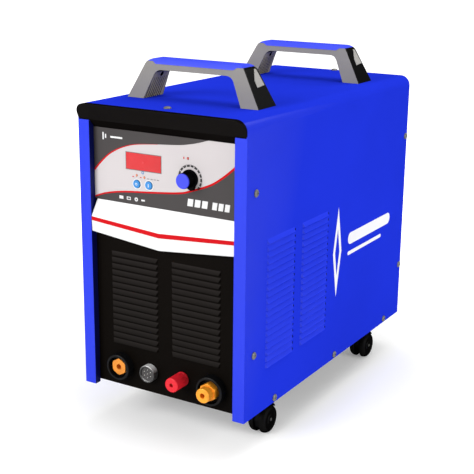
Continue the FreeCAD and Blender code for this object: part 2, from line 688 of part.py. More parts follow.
def grip_zone(clear):
    """Space of the coloured grip: the top bar, its lower edge stepping up towards the ends."""
    low = HANDLE_TOP - GRIP_THICK - clear
    step = low + GRIP_STEP
    high = HANDLE_TOP + 5
    points = [(-HALF_WIDTH, step + 1), (-GRIP_NOTCH, step), (7 - GRIP_NOTCH, low),
              (GRIP_NOTCH - 7, low), (GRIP_NOTCH, step), (HALF_WIDTH, step + 1),
              (HALF_WIDTH, high), (-HALF_WIDTH, high)]
    return prism_y(points, -40, 40)


def handle_core():
    """Black body with ribbed inner legs and a moulding recess near the top of each."""
    body = handle_arch().common(handle_wedge(FACE_THICK + 0.05, TOP, HANDLE_TOP))
    body = body.cut(grip_zone(0.1))
    lean = (HANDLE_WINDOW_FOOT - HANDLE_WINDOW_TOP_HALF) / HANDLE_WINDOW_HEIGHT
    tools = []
    for i in range(-4, 4):
        y = i * RIB_PITCH
        groove = [(HANDLE_WINDOW_FOOT - 1, TOP - 1), (HANDLE_WINDOW_FOOT + 1.4, TOP - 1),
                  (HANDLE_WINDOW_FOOT + 1.4 - lean * 36, TOP + 34),
                  (HANDLE_WINDOW_FOOT - 1 - lean * 36, TOP + 34)]
        tools.append(prism_y(groove, y - 1.1, y + 1.1))
    tools.append(rod(Vec(HANDLE_WINDOW_TOP_HALF - 2, 1, TOP + 39), X_AXIS, 4, 14))
    bolt_x = abs(handle_bolt_spots()[0][0])
    tools += [rod(Vec(bolt_x, y, TOP - 1), Z_AXIS, 3.1, 17)
              for y in (-HANDLE_BOLT_STEP, HANDLE_BOLT_STEP)]
    return body.cut(tools + [mirrored(t) for t in tools])


def handle_faces():
    """Front and rear facing shells of one handle."""
    arch = handle_arch().cut(grip_zone(0.1))
    skin = arch.common(handle_wedge(0, TOP, HANDLE_TOP))
    skin = skin.cut(handle_wedge(FACE_THICK, TOP - 0.001, HANDLE_TOP + 0.001))
    return Part.makeCompound(skin.Solids)


def handle_grip():
    """Soft cover over the top bar, hooked down both faces."""
    outer = handle_arch().common(grip_zone(0))
    wedge = handle_wedge(-GRIP_PROUD, HANDLE_TOP - 2 * GRIP_ROUND, HANDLE_TOP)
    wedge = wedge.makeFillet(GRIP_ROUND, edges_where(wedge, lambda p: p.z > HANDLE_TOP - 1))
    return outer.common(wedge)


def moved_y(shape, y):
    copy = shape.copy()
    copy.translate(Vec(0, y, 0))
    return copy


def handle_screws():
    """Bolts up through the cover's top into the handle feet."""
    bolts = []
    for x, y in handle_bolt_spots():
        start = Vec(x, y, TOP - SHEET - 4)
        bolts.append(union([rod(start, Z_AXIS, 5.5, 4), rod(start, Z_AXIS, BOLT_RADIUS, 18)]))
    return Part.makeCompound(bolts)


# ---- Casters -------------------------------------------------------------------------------
def caster_plates():
    """Square top plates, each with its fixed kingpin."""
    plates = []
    for x, y in caster_centres().values():
        plate = box(x - PLATE_HALF, x + PLATE_HALF, y - PLATE_HALF, y + PLATE_HALF,
                    TRAY_LOW - PLATE_THICK, TRAY_LOW)
        upright = [e for e in plate.Edges if abs(e.tangentAt(0).z) > 0.9]
        plate = plate.makeFillet(5, upright)
        pin = rod(Vec(x, y, HOOD_HEAD_LOW), Z_AXIS, KINGPIN_RADIUS,
                  TRAY_LOW - PLATE_THICK - HOOD_HEAD_LOW)
        head = rod(Vec(x, y, HOOD_HEAD_LOW - 0.5), Z_AXIS, KINGPIN_RADIUS + 2, 2.5)
        holes = [rod(Vec(x + i * BOLT_OFFSET, y + j * BOLT_OFFSET, TRAY_LOW - 5), Z_AXIS, BOLT_HOLE, 6)
                 for i in (-1, 1) for j in (-1, 1)]
        plates.append(union([plate, pin, head]).cut(holes))
    return Part.makeCompound(plates)


def caster_hood():
    """Swivel head, centre web and fender of a twin-wheel caster, about its swivel axis."""
    top = TRAY_LOW - PLATE_THICK - 0.15
    head = turned([(0, HOOD_HEAD_LOW), (HOOD_HEAD_RADIUS - 2, HOOD_HEAD_LOW),
                   (HOOD_HEAD_RADIUS, HOOD_HEAD_LOW + 2), (HOOD_HEAD_RADIUS, top - 1.5),
                   (HOOD_HEAD_RADIUS - 1.5, top), (0, top)], ORIGIN, Z_AXIS)
    y, z = CASTER_TRAIL, WHEEL_RADIUS
    side = [(-13, 58), (-15, 48), (-4, 30), (y - 10, 10), (y + 4, 6), (y + 17, 12), (y + 21, 26),
            (y + 16, 42), (y - 2, 58)]
    web = prism_x(side, -HOOD_WEB, HOOD_WEB, [0, 6, 10, 8, 8, 8, 8, 8, 0])
    fender = rod(Vec(-12, y, z), X_AXIS, WHEEL_RADIUS + 3.6, 24)
    fender = fender.cut(rod(Vec(-13, y, z), X_AXIS, WHEEL_RADIUS + 1.2, 26))
    above = box(-13, 13, y - 32, y + 32, z + 16, z + 34)
    seat = rod(Vec(0, 0, HOOD_HEAD_LOW - 6), Z_AXIS, KINGPIN_RADIUS + 2.3, 8.6)
    pin_bore = rod(Vec(0, 0, HOOD_HEAD_LOW - 6), Z_AXIS, KINGPIN_RADIUS + RUNNING_GAP, 40)
    axle_hole = rod(Vec(-30, y, z), X_AXIS, AXLE_RADIUS + RUNNING_GAP, 60)
    body = union([head, web, fender.common(above)])
    return body.cut([pin_bore, seat, axle_hole])


def caster_axle():
    """Plain axle, pressed into both wheels and turning in the hood's web."""
    end = WHEEL_OUTER
    profile = [(0, -end - 0.8), (AXLE_RADIUS - 1, -end - 0.8), (AXLE_RADIUS, -end),
               (AXLE_RADIUS, end), (AXLE_RADIUS - 1, end + 0.8), (0, end + 0.8)]
    return turned(profile, Vec(0, CASTER_TRAIL, WHEEL_RADIUS), X_AXIS)


def caster_wheels():
    """Pair of domed nylon wheels, one on each side of the web."""
    centre = Vec(0, CASTER_TRAIL, WHEEL_RADIUS)
    outer = WHEEL_OUTER
    profile = [(AXLE_RADIUS, WHEEL_INNER), (WHEEL_RADIUS - 0.8, WHEEL_INNER),
               (WHEEL_RADIUS, WHEEL_INNER + 0.8), (WHEEL_RADIUS, WHEEL_INNER + 3.4),
               (WHEEL_RADIUS - 0.6, outer - 5.2), (WHEEL_RADIUS - 1.8, outer - 2.8),
               (WHEEL_RADIUS - 3.6, outer - 1), (WHEEL_RADIUS - 5.6, outer),
               (WHEEL_RADIUS - 7.2, outer), (WHEEL_RADIUS - 8.2, outer - 1.6),
               (9.5, outer - 1.6), (8, outer), (AXLE_RADIUS, outer)]
    wheel = turned(profile, centre, X_AXIS)
    return Part.makeCompound([wheel, mirrored(wheel)])


def caster_bolts():
    """Hex bolts through the plates into the tray."""
    bolts = []
    for x, y in caster_bolt_spots():
        head = Vec(x, y, TRAY_LOW - PLATE_THICK - 4)
        points = [(x + 5.4 * math.cos(math.radians(60 * i)), y + 5.4 * math.sin(math.radians(60 * i)))
                  for i in range(6)]
        outline = [Vec(px, py, head.z) for px, py in points]
        hexagon = Part.Face(Part.makePolygon(outline + [outline[0]])).extrude(Vec(0, 0, 4))
        bolts.append(union([hexagon, rod(head, Z_AXIS, BOLT_RADIUS, 4 + PLATE_THICK + TRAY_THICK + 5)]))
    return Part.makeCompound(bolts)


# ---- Rear ----------------------------------------------------------------------------------
def rear_panel():
    """Pressed pan closing the back, flanged forwards inside the cover."""
    low = TRAY_TOP + GAP
    inset = SHEET + GAP
    outer = case_block(inset, low, REAR - 18, REAR_PLATE + REAR_THICK)
    inner = case_block(inset + REAR_THICK, low + REAR_THICK, REAR - 19, REAR_PLATE)
    front, back = REAR_PLATE - 1, REAR_PLATE + REAR_THICK + 1
    width, height = BREAKER_SIZE
    x, z = BREAKER_CENTRE
    cuts = [inner, rod_y(FAN_CENTRE, FAN_RADIUS + 3, front, back),
            box(x - width / 2 - GAP, x + width / 2 + GAP, front, back, z - height / 2 - GAP,
                z + height / 2 + GAP),
            rod_y(GLAND_AXIS, 12.2, front, back), rod_y(AIR_AXIS, 7.2, front, back),
            rod_y(EARTH_AXIS, 4.2, front, back)]
    cuts += [rod_y(spot, 2.4, front, back) for spot in fan_corners()]
    return outer.cut(cuts + screw_holes(SCREW_HOLE))


def fan_corners():
    """(x, z) of the four fan screws."""
    reach = FAN_SIZE / 2 - 9
    return [(FAN_CENTRE[0] + i * reach, FAN_CENTRE[1] + j * reach) for i in (-1, 1) for j in (-1, 1)]


def fan_frame():
    """Square frame with its duct, motor seat and four stays."""
    front, back = REAR_PLATE - FAN_DEPTH, REAR_PLATE
    half = FAN_SIZE / 2
    x, z = FAN_CENTRE
    frame = box(x - half, x + half, front, back, z - half, z + half)
    upright = [e for e in frame.Edges if abs(e.tangentAt(0).y) > 0.9]
    frame = frame.makeFillet(8, upright)
    duct = rod_y(FAN_CENTRE, FAN_RADIUS + 3, front - 1, back + 1)
    waist = rod_y(FAN_CENTRE, half + 45, front + 5, back - 5)
    waist = waist.cut(rod_y(FAN_CENTRE, FAN_RADIUS + 6, front, back))
    seat = rod_y(FAN_CENTRE, 34, front, front + 4)
    stays = []
    for angle in range(45, 360, 90):
        stay = box(20, FAN_RADIUS + 5, front, front + 4, -4, 4)
        stay.rotate(ORIGIN, Y_AXIS, angle)
        stay.translate(Vec(x, 0, z))
        stays.append(stay)
    spigot = rod_y(FAN_CENTRE, 4, front, back - 20)
    holes = [rod_y(spot, 2.4, front - 1, back + 1) for spot in fan_corners()]
    return frame.cut([duct, waist]).fuse([seat, spigot] + stays).cut(holes)


def fan_rotor():
    """Motor cup with seven pitched blades, turning on the frame's spigot."""
    front, back = REAR_PLATE - FAN_DEPTH + 6, REAR_PLATE - 6
    hub = rod_y(FAN_CENTRE, 36, front, back)
    hub = hub.makeFillet(3, edges_where(hub, lambda p: p.y > back - 1))
    blades = []
    for i in range(7):
        blade = box(30, FAN_RADIUS, -1.2, 1.2, -22, 22)
        blade.rotate(ORIGIN, X_AXIS, 52)
        blade.rotate(ORIGIN, Y_AXIS, 360 / 7 * i)
        blade.translate(Vec(FAN_CENTRE[0], (front + back) / 2, FAN_CENTRE[1]))
        blades.append(blade)
    disc = rod_y(FAN_CENTRE, FAN_RADIUS, front + 2, back - 2)
    body = union([hub] + [b.common(disc) for b in blades])
    bore = rod_y(FAN_CENTRE, 4 + RUNNING_GAP, front - 1, REAR_PLATE - 18)
    return body.cut(bore)


def fan_guard():
    """Guard of eight-sided wire rings on four flat radial bars with screw eyes."""
    plane = REAR_PLATE + REAR_THICK + 4
    wire = 1.5
    centre = Vec(FAN_CENTRE[0], plane, FAN_CENTRE[1])
    rings = []
    for i in range(9):
        radius = 12 + i * 10.5
        section = []
        for k in range(8):
            angle = math.radians(22.5 + 45 * k)
            section.append(centre + Vec(radius + wire * math.cos(angle), wire * math.sin(angle), 0))
        face = Part.Face(Part.makePolygon(section + [section[0]]))
        rings.append(face.revolve(centre, Y_AXIS, 360))
    bars = []
    reach = math.hypot(FAN_SIZE / 2 - 9, FAN_SIZE / 2 - 9)
    for angle in range(45, 360, 90):
        bar = box(8, reach - 4, plane - 2.6, plane - 0.5, -1.3, 1.3)
        eye = rod(Vec(reach, plane - 4, 0), Y_AXIS, 6, 2.2)
        foot = box(reach - 7.5, reach - 3, plane - 3.9, plane - 1, -1.3, 1.3)
        spoke = union([bar, foot, eye]).cut(rod(Vec(reach, plane - 8, 0), Y_AXIS, 2.4, 12))
        spoke.rotate(ORIGIN, Y_AXIS, angle)
        spoke.translate(Vec(FAN_CENTRE[0], 0, FAN_CENTRE[1]))
        bars.append(spoke)
    return union(rings + bars)


def breaker_body():
    """Three-pole supply switch, its nose through the rear panel."""
    x, z = BREAKER_CENTRE
    width, height = BREAKER_SIZE
    back = REAR_PLATE + REAR_THICK + 5
    nose = box(x - width / 2, x + width / 2, REAR_PLATE - 2, back, z - height / 2, z + height / 2)
    nose = nose.makeFillet(1.2, edges_where(nose, lambda p: p.y > back - 1))
    case = box(x - 27, x + 27, REAR_PLATE - 52, REAR_PLATE - 0.1, z - 40, z + 40)
    gate = box(x - LEVER_WIDTH / 2 - 1, x + LEVER_WIDTH / 2 + 1, LEVER_PIVOT - 9, back + 1, z - 12,
               z + 12)
    pivot = rod(Vec(x - 26, LEVER_PIVOT, z), X_AXIS, 2, 52)
    well = rod(Vec(x - LEVER_WIDTH / 2 - 1, LEVER_PIVOT, z), X_AXIS, 9, LEVER_WIDTH + 2)
    return union([nose, case]).cut([gate, well]).fuse(pivot)


def breaker_lever():
    """Handle tie across the three poles, shown off: turned down by half its throw."""
    x, z = BREAKER_CENTRE
    left, right = x - LEVER_WIDTH / 2, x + LEVER_WIDTH / 2
    drum = rod(Vec(left, LEVER_PIVOT, z), X_AXIS, 7.5, LEVER_WIDTH)
    arm = [(LEVER_PIVOT + 3, z - 5), (LEVER_PIVOT + 17, z - 9), (LEVER_PIVOT + 19, z - 5),
           (LEVER_PIVOT + 3, z + 5)]
    arm = prism_x(arm, left, right, [0, 1.5, 1.5, 0])
    bore = rod(Vec(left - 1, LEVER_PIVOT, z), X_AXIS, 2 + RUNNING_GAP, LEVER_WIDTH + 2)
    return union([drum, arm]).cut(bore)


def cable_gland():
    """Gland for the supply cable: locknut inside, body and dome nut outside."""
    back = REAR_PLATE + REAR_THICK
    parts = [rod_y(GLAND_AXIS, 12, REAR_PLATE - 9, back), hexagon_y(GLAND_AXIS, 17, back, back + 6),
             hexagon_y(GLAND_AXIS, 17, REAR_PLATE - 7, REAR_PLATE)]
    dome = turned([(0, back + 6), (14, back + 6), (14, back + 16), (11, REARMOST), (0, REARMOST)],
                  Vec(GLAND_AXIS[0], 0, GLAND_AXIS[1]), Y_AXIS)
    body = union(parts + [dome])
    return body.cut(rod_y(GLAND_AXIS, GLAND_BORE, REAR_PLATE - 20, REARMOST + 1))


def air_inlet():
    """Bulkhead hose tail for the compressed air supply."""
    back = REAR_PLATE + REAR_THICK
    axis = Vec(AIR_AXIS[0], 0, AIR_AXIS[1])
    barb_start = back + 5
    profile = [(0, back), (6.2, back), (6.2, back + 4), (AIR_BARB, barb_start),
               (AIR_BARB, REARMOST - 2), (AIR_BARB - 1, REARMOST), (0, REARMOST)]
    parts = [turned(profile, axis, Y_AXIS), hexagon_y(AIR_AXIS, 10, back, back + 3),
             rod_y(AIR_AXIS, 7, REAR_PLATE - 10, back),
             hexagon_y(AIR_AXIS, 11, REAR_PLATE - 5, REAR_PLATE)]
    return union(parts).cut(rod_y(AIR_AXIS, 3, REAR_PLATE - 20, REARMOST + 1))


def air_valve():
    """Solenoid valve on the inlet's inner end: brass block under a coil."""
    front = REAR_PLATE - 50
    x, z = AIR_AXIS
    block = box(x - 14, x + 14, front, REAR_PLATE - 10.1, z - 12, z + 12)
    stem = rod(Vec(x, front + 20, z + 12), Z_AXIS, 6, 8)
    coil = box(x - 15, x + 15, front + 4, front + 36, z + 19, z + 50)
    cap = rod(Vec(x, front + 20, z + 50), Z_AXIS, 7, 5)
    outlet = rod_y(AIR_AXIS, 5, front - 16, front)
    body = union([block, stem, coil, cap, outlet])
    return body.cut(rod_y(AIR_AXIS, 2.5, front - 17, front + 10))


def ground_stud():
    """Protective earth stud with its washer and nuts on the rear panel."""
    back = REAR_PLATE + REAR_THICK
    parts = [rod_y(EARTH_AXIS, 4, REAR_PLATE - 12, back + 18),
             rod_y(EARTH_AXIS, 8.5, back, back + 1.6),
             hexagon_y(EARTH_AXIS, 7.5, back + 1.6, back + 8),
             hexagon_y(EARTH_AXIS, 7.5, REAR_PLATE - 6.5, REAR_PLATE)]
    return union(parts)


# ---- Inside --------------------------------------------------------------------------------
def heat_sink():
    """Extruded cooler along the air path, fins down."""
    half = SINK_HALF_WIDTH
    y0, y1 = SINK_SPAN
    low = TRAY_TOP + SINK_FEET
    parts = [box(-half, half, y0, y1, low + FIN_HEIGHT, SINK_TOP)]
    step = (2 * half - FIN_THICK - 2) / (FIN_COUNT - 1)
    for i in range(FIN_COUNT):
        x = 1 - half + i * step
        parts.append(box(x, x + FIN_THICK, y0, y1, low, low + FIN_HEIGHT))
    parts += [box(-half, half, y, y + 12, TRAY_TOP, low) for y in (y0, y1 - 12)]
    return union(parts)


def power_board():
    """Inverter board standing on the power modules, with its bulk capacitors."""
    deck = SINK_TOP + 24
    parts = [box(-72, 72, -140, 120, deck, deck + 2)]
    for y in (-110, -40, 30):
        parts.append(box(-50, 50, y, y + 34, SINK_TOP, deck))
    for x in (-42, 0, 42):
        parts.append(rod(Vec(x, 85, deck + 2), Z_AXIS, 17, 55))
        parts.append(rod(Vec(x, -105, deck + 2), Z_AXIS, 12, 30))
    return union(parts)


def main_transformer():
    """Ferrite core with its winding, on the left of the tray."""
    x, y = CORE_MIDDLE
    z = TRAY_TOP
    ring = box(x - 28, x + 28, y - 55, y + 55, z, z + 110)
    ring = ring.cut(box(x - 29, x + 29, y - 35, y + 35, z + 22, z + 88))
    winding = box(x - 36, x + 36, y - 32, y + 32, z + 4, z + 40)
    return union([ring, winding])


def output_choke():
    """Toroidal choke smoothing the cutting current, standing on the right of the tray."""
    x, y = CHOKE_MIDDLE
    z = TRAY_TOP + CHOKE_RADIUS + 2
    ring = rod(Vec(x - 22, y, z), X_AXIS, CHOKE_RADIUS, 44)
    foot = box(x - 22, x + 22, y - 40, y + 40, TRAY_TOP, TRAY_TOP + 14)
    return union([ring, foot]).cut(rod(Vec(x - 23, y, z), X_AXIS, CHOKE_BORE, 46))


# ---- Screws --------------------------------------------------------------------------------
def pan_screw(seat, outward):
    """Cross-recess pan-head screw, its head on seat and its shank pointing inward."""
    head = turned([(0, 0), (SCREW_HEAD, 0), (SCREW_HEAD, 1.4), (5.2, 2.4), (3.2, SCREW_HEAD_HEIGHT),
                   (0, SCREW_HEAD_HEIGHT)], ORIGIN, Z_AXIS)
    shank = rod(Vec(0, 0, -SCREW_LENGTH), Z_AXIS, SCREW_RADIUS, SCREW_LENGTH)
    cross = [box(-3, 3, -0.6, 0.6, 1.8, 4), box(-0.6, 0.6, -3, 3, 1.8, 4)]
    screw = union([head, shank]).cut(cross)
    screw.Placement = FreeCAD.Placement(seat, FreeCAD.Rotation(Z_AXIS, outward))
    return screw


def cover_screws():
    screws = []
    for side in (-1, 1):
        for y, z in SIDE_SCREWS:
            screws.append(pan_screw(Vec(side * HALF_WIDTH, y, z), Vec(side, 0, 0)))
    for y in TOP_SCREWS:
        screws.append(pan_screw(Vec(0, y, TOP), Z_AXIS))
    return Part.makeCompound(screws)


# ---- Build ---------------------------------------------------------------------------------
def build_casters():
    pieces = {"hood": caster_hood(), "axle": caster_axle(), "wheels": caster_wheels()}
    for name, (x, y) in caster_centres().items():
        for kind, shape in pieces.items():
            save("caster_" + kind + "_" + name, placed(shape, Vec(x, y, 0), CASTER_TURN[name]))


def build_handles():
    pieces = {"core": handle_core(), "faces": handle_faces(), "grip": handle_grip()}
    for place, y in HANDLE_PLACES.items():
        for kind, shape in pieces.items():
            save(place + "_handle_" + kind, moved_y(shape, y))


SINGLES = (outer_cover, base_tray, front_panel, visor, control_panel, chevron_band,
           display_window, display_module, control_board, potentiometer, current_knob, knob_cap,
           indicator_leds, work_socket_contact, torch_socket_fitting, control_socket_shell,
           control_socket_insert, pilot_post_base, pilot_post_stud, pilot_post_cap, handle_screws,
           caster_plates, caster_bolts, rear_panel, fan_frame, fan_rotor, fan_guard, breaker_body,
           breaker_lever, cable_gland, air_inlet, air_valve, ground_stud, heat_sink, power_board,
           main_transformer, output_choke, cover_screws)


def main():
    os.makedirs("parts", exist_ok=True)
    for make in SINGLES:
        save(make.__name__, make())
    for side, centre in BUTTON_CENTRES.items():
        save(side + "_button", button(centre))
    save("work_socket_housing", socket_housing(WORK_AXIS, WORK_RING_RADIUS, 16, 8.1))
    save("torch_socket_housing", socket_housing(TORCH_AXIS, TORCH_RING_RADIUS, 18, 9.1))
    build_handles()
    build_casters()


main()
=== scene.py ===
import math

import bmesh
import bpy
from mathutils import Matrix, Vector
from mathutils.bvhtree import BVHTree


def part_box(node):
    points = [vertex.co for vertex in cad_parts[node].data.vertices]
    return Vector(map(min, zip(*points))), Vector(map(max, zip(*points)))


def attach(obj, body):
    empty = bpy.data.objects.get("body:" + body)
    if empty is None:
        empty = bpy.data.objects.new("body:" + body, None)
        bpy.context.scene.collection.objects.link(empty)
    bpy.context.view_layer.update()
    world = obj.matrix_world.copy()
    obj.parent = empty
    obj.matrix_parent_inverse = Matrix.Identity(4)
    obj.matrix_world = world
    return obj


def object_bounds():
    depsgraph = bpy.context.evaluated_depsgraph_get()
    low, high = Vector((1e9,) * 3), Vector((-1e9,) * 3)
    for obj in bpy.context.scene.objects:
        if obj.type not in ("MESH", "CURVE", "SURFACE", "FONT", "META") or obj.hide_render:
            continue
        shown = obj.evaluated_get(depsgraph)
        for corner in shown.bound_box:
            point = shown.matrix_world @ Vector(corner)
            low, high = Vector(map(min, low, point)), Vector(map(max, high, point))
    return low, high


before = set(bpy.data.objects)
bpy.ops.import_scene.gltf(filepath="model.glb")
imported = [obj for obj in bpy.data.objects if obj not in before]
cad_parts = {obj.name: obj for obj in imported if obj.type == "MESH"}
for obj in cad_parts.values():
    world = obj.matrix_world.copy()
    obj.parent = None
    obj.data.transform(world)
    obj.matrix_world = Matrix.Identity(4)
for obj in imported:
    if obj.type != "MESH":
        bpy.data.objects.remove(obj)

CAD_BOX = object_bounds()
MM = 0.001

# ---- Places taken from the frame -----------------------------------------------------------
COVER_LOW, COVER_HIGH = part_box("outer_cover")
OVERLAY_LOW, OVERLAY_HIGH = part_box("control_panel")
OVERLAY_FACE = OVERLAY_LOW.y
REAR_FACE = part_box("rear_panel")[1].y
BAND_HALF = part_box("chevron_band")[1].x
SIDE_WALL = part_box("visor")[1].x  # the visor ends flush with the cover's flat sides

# ---- Sizes ---------------------------------------------------------------------------------
FILM = 0.12 * MM  # thickness of a printed layer
SAME_PLACE = 1e-6  # vertices closer than this are one
PIN_RING = 7 * MM
PIN_RADIUS = 1.1 * MM
PIN_TIP_SHARE = 0.7
PIN_LENGTH = 5 * MM


def middle(node):
    """Centre of a CAD node's box."""
    low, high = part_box(node)
    return (low + high) / 2


def face_spot(node):
    """(x, z) of a CAD node's middle."""
    centre = middle(node)
    return centre.x, centre.z


def corners(node):
    """Places of a CAD node's vertices."""
    return [v.co.copy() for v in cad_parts[node].data.vertices]


# ---- Node materials ------------------------------------------------------------------------
class Nodes:
    """Short hand for building one material's node tree."""

    def __init__(self, name):
        self.material = bpy.data.materials.new(name)
        self.material.use_nodes = True
        self.tree = self.material.node_tree
        self.shader = self.tree.nodes["Principled BSDF"]
        self.object = self.add("ShaderNodeTexCoord").outputs["Object"]

    def add(self, kind, **settings):
        node = self.tree.nodes.new(kind)
        for key, value in settings.items():
            setattr(node, key, value)
        return node

    def link(self, source, target):
        self.tree.links.new(source, target)

    def feed(self, node, **values):
        """Set or link inputs by name; a blank in a name is written as an underscore."""
        for key, value in values.items():
            socket = node.inputs[key.replace("_", " ")]
            if isinstance(value, bpy.types.NodeSocket):
                self.link(value, socket)
            else:
                socket.default_value = value
        return node

    def noise(self, size, detail=3.0, vector=None, rough=0.55):
        """Noise whose features are about size metres across."""
        node = self.add("ShaderNodeTexNoise")
        self.feed(node, Scale=0.6 / size, Detail=detail, Roughness=rough)
        self.link(vector or self.object, node.inputs["Vector"])
        return node.outputs["Fac"]

    def span(self, value, low, high, start=0.0, end=1.0):
        """Clamped linear map of low..high onto start..end."""
        node = self.add("ShaderNodeMapRange")
        self.feed(node, Value=value)
        node.inputs["From Min"].default_value = low
        node.inputs["From Max"].default_value = high
        node.inputs["To Min"].default_value = start
        node.inputs["To Max"].default_value = end
        return node.outputs["Result"]

    def swing(self, noise, start=0.0, end=1.0):
        """Spread the usual range of a noise over start..end."""
        return self.span(noise, 0.3, 0.7, start, end)

    def maths(self, operation, first, second=None):
        node = self.add("ShaderNodeMath", operation=operation)
        for socket, value in zip(node.inputs, (first, second)):
            if isinstance(value, bpy.types.NodeSocket):
                self.link(value, socket)
            elif value is not None:
                socket.default_value = value
        return node.outputs["Value"]

    def blend(self, share, first, second):
        """Colour mix."""
        node = self.add("ShaderNodeMix", data_type="RGBA")
        for index, value in ((0, share), (6, first), (7, second)):
            if isinstance(value, bpy.types.NodeSocket):
                self.link(value, node.inputs[index])
            else:
                node.inputs[index].default_value = value
        return node.outputs[2]

    def stretched(self, scale):
        """Object coordinates scaled by axis."""
        node = self.add("ShaderNodeMapping")
        self.link(self.object, node.inputs["Vector"])
        node.inputs["Scale"].default_value = scale
        return node.outputs["Vector"]

    def edge(self, radius):
        """(edge mask, rounded normal): 1 along sharp edges, fading over radius."""
        bevel = self.add("ShaderNodeBevel", samples=4)
        bevel.inputs["Radius"].default_value = radius
        geometry = self.add("ShaderNodeNewGeometry")
        dot = self.add("ShaderNodeVectorMath", operation="DOT_PRODUCT")
        self.link(bevel.outputs["Normal"], dot.inputs[0])
        self.link(geometry.outputs["True Normal"], dot.inputs[1])
        return self.span(dot.outputs["Value"], 0.995, 0.86), bevel.outputs["Normal"]

    def axes(self, vector):
        """The three parts of a vector."""
        node = self.add("ShaderNodeSeparateXYZ")
        self.link(vector, node.inputs["Vector"])
        return node.outputs

    def flat_normal(self):
        return self.axes(self.add("ShaderNodeNewGeometry").outputs["True Normal"])

    def outwardness(self):
        """1 on faces turned straight away from the plane X = 0, -1 on those turned towards it."""
        side = self.maths("SIGN", self.axes(self.object)["X"])
        return self.maths("MULTIPLY", side, self.flat_normal()["X"])

    def inward(self):
        """Mask of the faces that look towards the plane X = 0."""
        return self.span(self.outwardness(), -0.6, -0.8)

    def outward(self):
        """Mask of the faces that look away from the plane X = 0."""
        return self.span(self.outwardness(), 0.6, 0.8)

    def gleam(self, strength):
        """Reflection strength that fades as a surface turns edge-on to the eye."""
        facing = self.add("ShaderNodeLayerWeight").outputs["Facing"]
        return self.span(facing, 0.20, 0.55, strength, 0.0)

    def bump(self, height, distance, normal=None):
        node = self.add("ShaderNodeBump")
        self.feed(node, Height=height, Distance=distance)
        if normal is not None:
            self.link(normal, node.inputs["Normal"])
        return node.outputs["Normal"]


def rgba(colour):
    return (colour[0], colour[1], colour[2], 1.0)


def shade(colour, factor):
    return tuple(min(1.0, c * factor) for c in colour[:3])


DUST = (0.20, 0.19, 0.175, 1.0)
EDGE_WEAR_AND_HIGHLIGHT_RADIUS = 0.6 * MM
WORN_SHARE = 0.35
WORN_PALER = 1.7
ROUGH_SWING = 0.08


def finish_material(name, colour, rough, grain=1.0, depth=0.02, metal=0.0, mottle=0.06,
                    edge_colour=None, dust=0.0, gloss=0.3, inward=None, outward=None):
    """Moulded, painted or metal surface. grain and depth are in millimetres; gloss is the strength
    of its reflection; inward and outward recolour the faces that look towards the unit's middle
    and away from it."""
    n = Nodes(name)
    broad = n.noise(0.12, 4)
    fine = n.noise(grain * MM, 2, rough=0.6)
    tone = n.blend(n.swing(broad), rgba(shade(colour, 1 - mottle)),
                   rgba(shade(colour, 1 + mottle)))
    if inward:
        tone = n.blend(n.inward(), tone, rgba(inward))
    if outward:
        tone = n.blend(n.outward(), tone, rgba(outward))
    mask, normal = n.edge(EDGE_WEAR_AND_HIGHLIGHT_RADIUS)
    chips = n.span(n.noise(0.006, 5), 0.42, 0.62)
    worn = n.maths("MULTIPLY", n.maths("MULTIPLY", mask, chips), WORN_SHARE)
    tone = n.blend(worn, tone, rgba(edge_colour or shade(colour, WORN_PALER)))
    if dust:
        specks = n.span(n.noise(0.0025, 6, rough=0.75), 0.60, 0.78, 0.0, dust)
        tone = n.blend(specks, tone, DUST)
    smear = n.noise(0.03, 4, n.stretched((1.0, 0.6, 2.0)))
    roughness = n.swing(smear, rough - ROUGH_SWING, rough + ROUGH_SWING)
    n.feed(n.shader, Base_Color=tone, Roughness=roughness, Metallic=metal,
           Specular_IOR_Level=n.gleam(gloss), Normal=n.bump(fine, depth * MM, normal))
    return n.material


def slatted_moulding(name, colour, painted_lit, node, pitch):
    """Matt black moulding with painted light: lit slat tops fading to dark, and painted edge
    highlights.
    """
    n = Nodes(name)
    broad = n.noise(0.12, 4)
    grain = n.noise(0.7 * MM, 2, rough=0.6)
    tone = n.blend(n.swing(broad), rgba(shade(colour, 0.85)), rgba(shade(colour, 1.15)))
    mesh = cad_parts[node].data
    sloping = [p for p in mesh.polygons if p.normal.z > 0.3 and p.normal.y < -0.3]
    crest = max(mesh.vertices[i].co.z for i in max(sloping, key=lambda p: p.area).vertices)
    height = n.maths("SUBTRACT", n.axes(n.object)["Z"], crest)
    share = n.maths("FRACT", n.maths("DIVIDE", height, pitch))
    # painted light: each slat's upward face goes from the lighter colour at its top to dark at its
    # foot
    painted_slat_light = n.maths("MULTIPLY", n.span(n.flat_normal()["Z"], 0.2, 0.4), n.span(share, 0.15, 0.95))
    tone = n.blend(painted_slat_light, tone, rgba(painted_lit))
    mask, normal = n.edge(EDGE_WEAR_AND_HIGHLIGHT_RADIUS)
    # painted highlight: the edges are blended towards the lighter colour
    tone = n.blend(n.maths("MULTIPLY", mask, 0.12), tone, rgba(painted_lit))
    n.feed(n.shader, Base_Color=tone, Roughness=n.swing(broad, 0.44, 0.56),
           Specular_IOR_Level=n.gleam(0.02), Normal=n.bump(grain, 0.03 * MM, normal))
    return n.material


# paler blue of painted light on the louvres' upward faces
LOUVRE_LIT_BLUE = (0.022, 0.055, 0.95, 1)
FLANK_START = COVER_HIGH.z - 40 * MM  # from here down the cover's side is flat
FLANK_FULL = COVER_HIGH.z - 60 * MM
WALL_DEPTH = 2.5 * MM  # a little more than the thickness of the side wall
WALL_SLACK = 0.05 * MM
END_MARGIN = 20 * MM  # the bent ends of the side walls


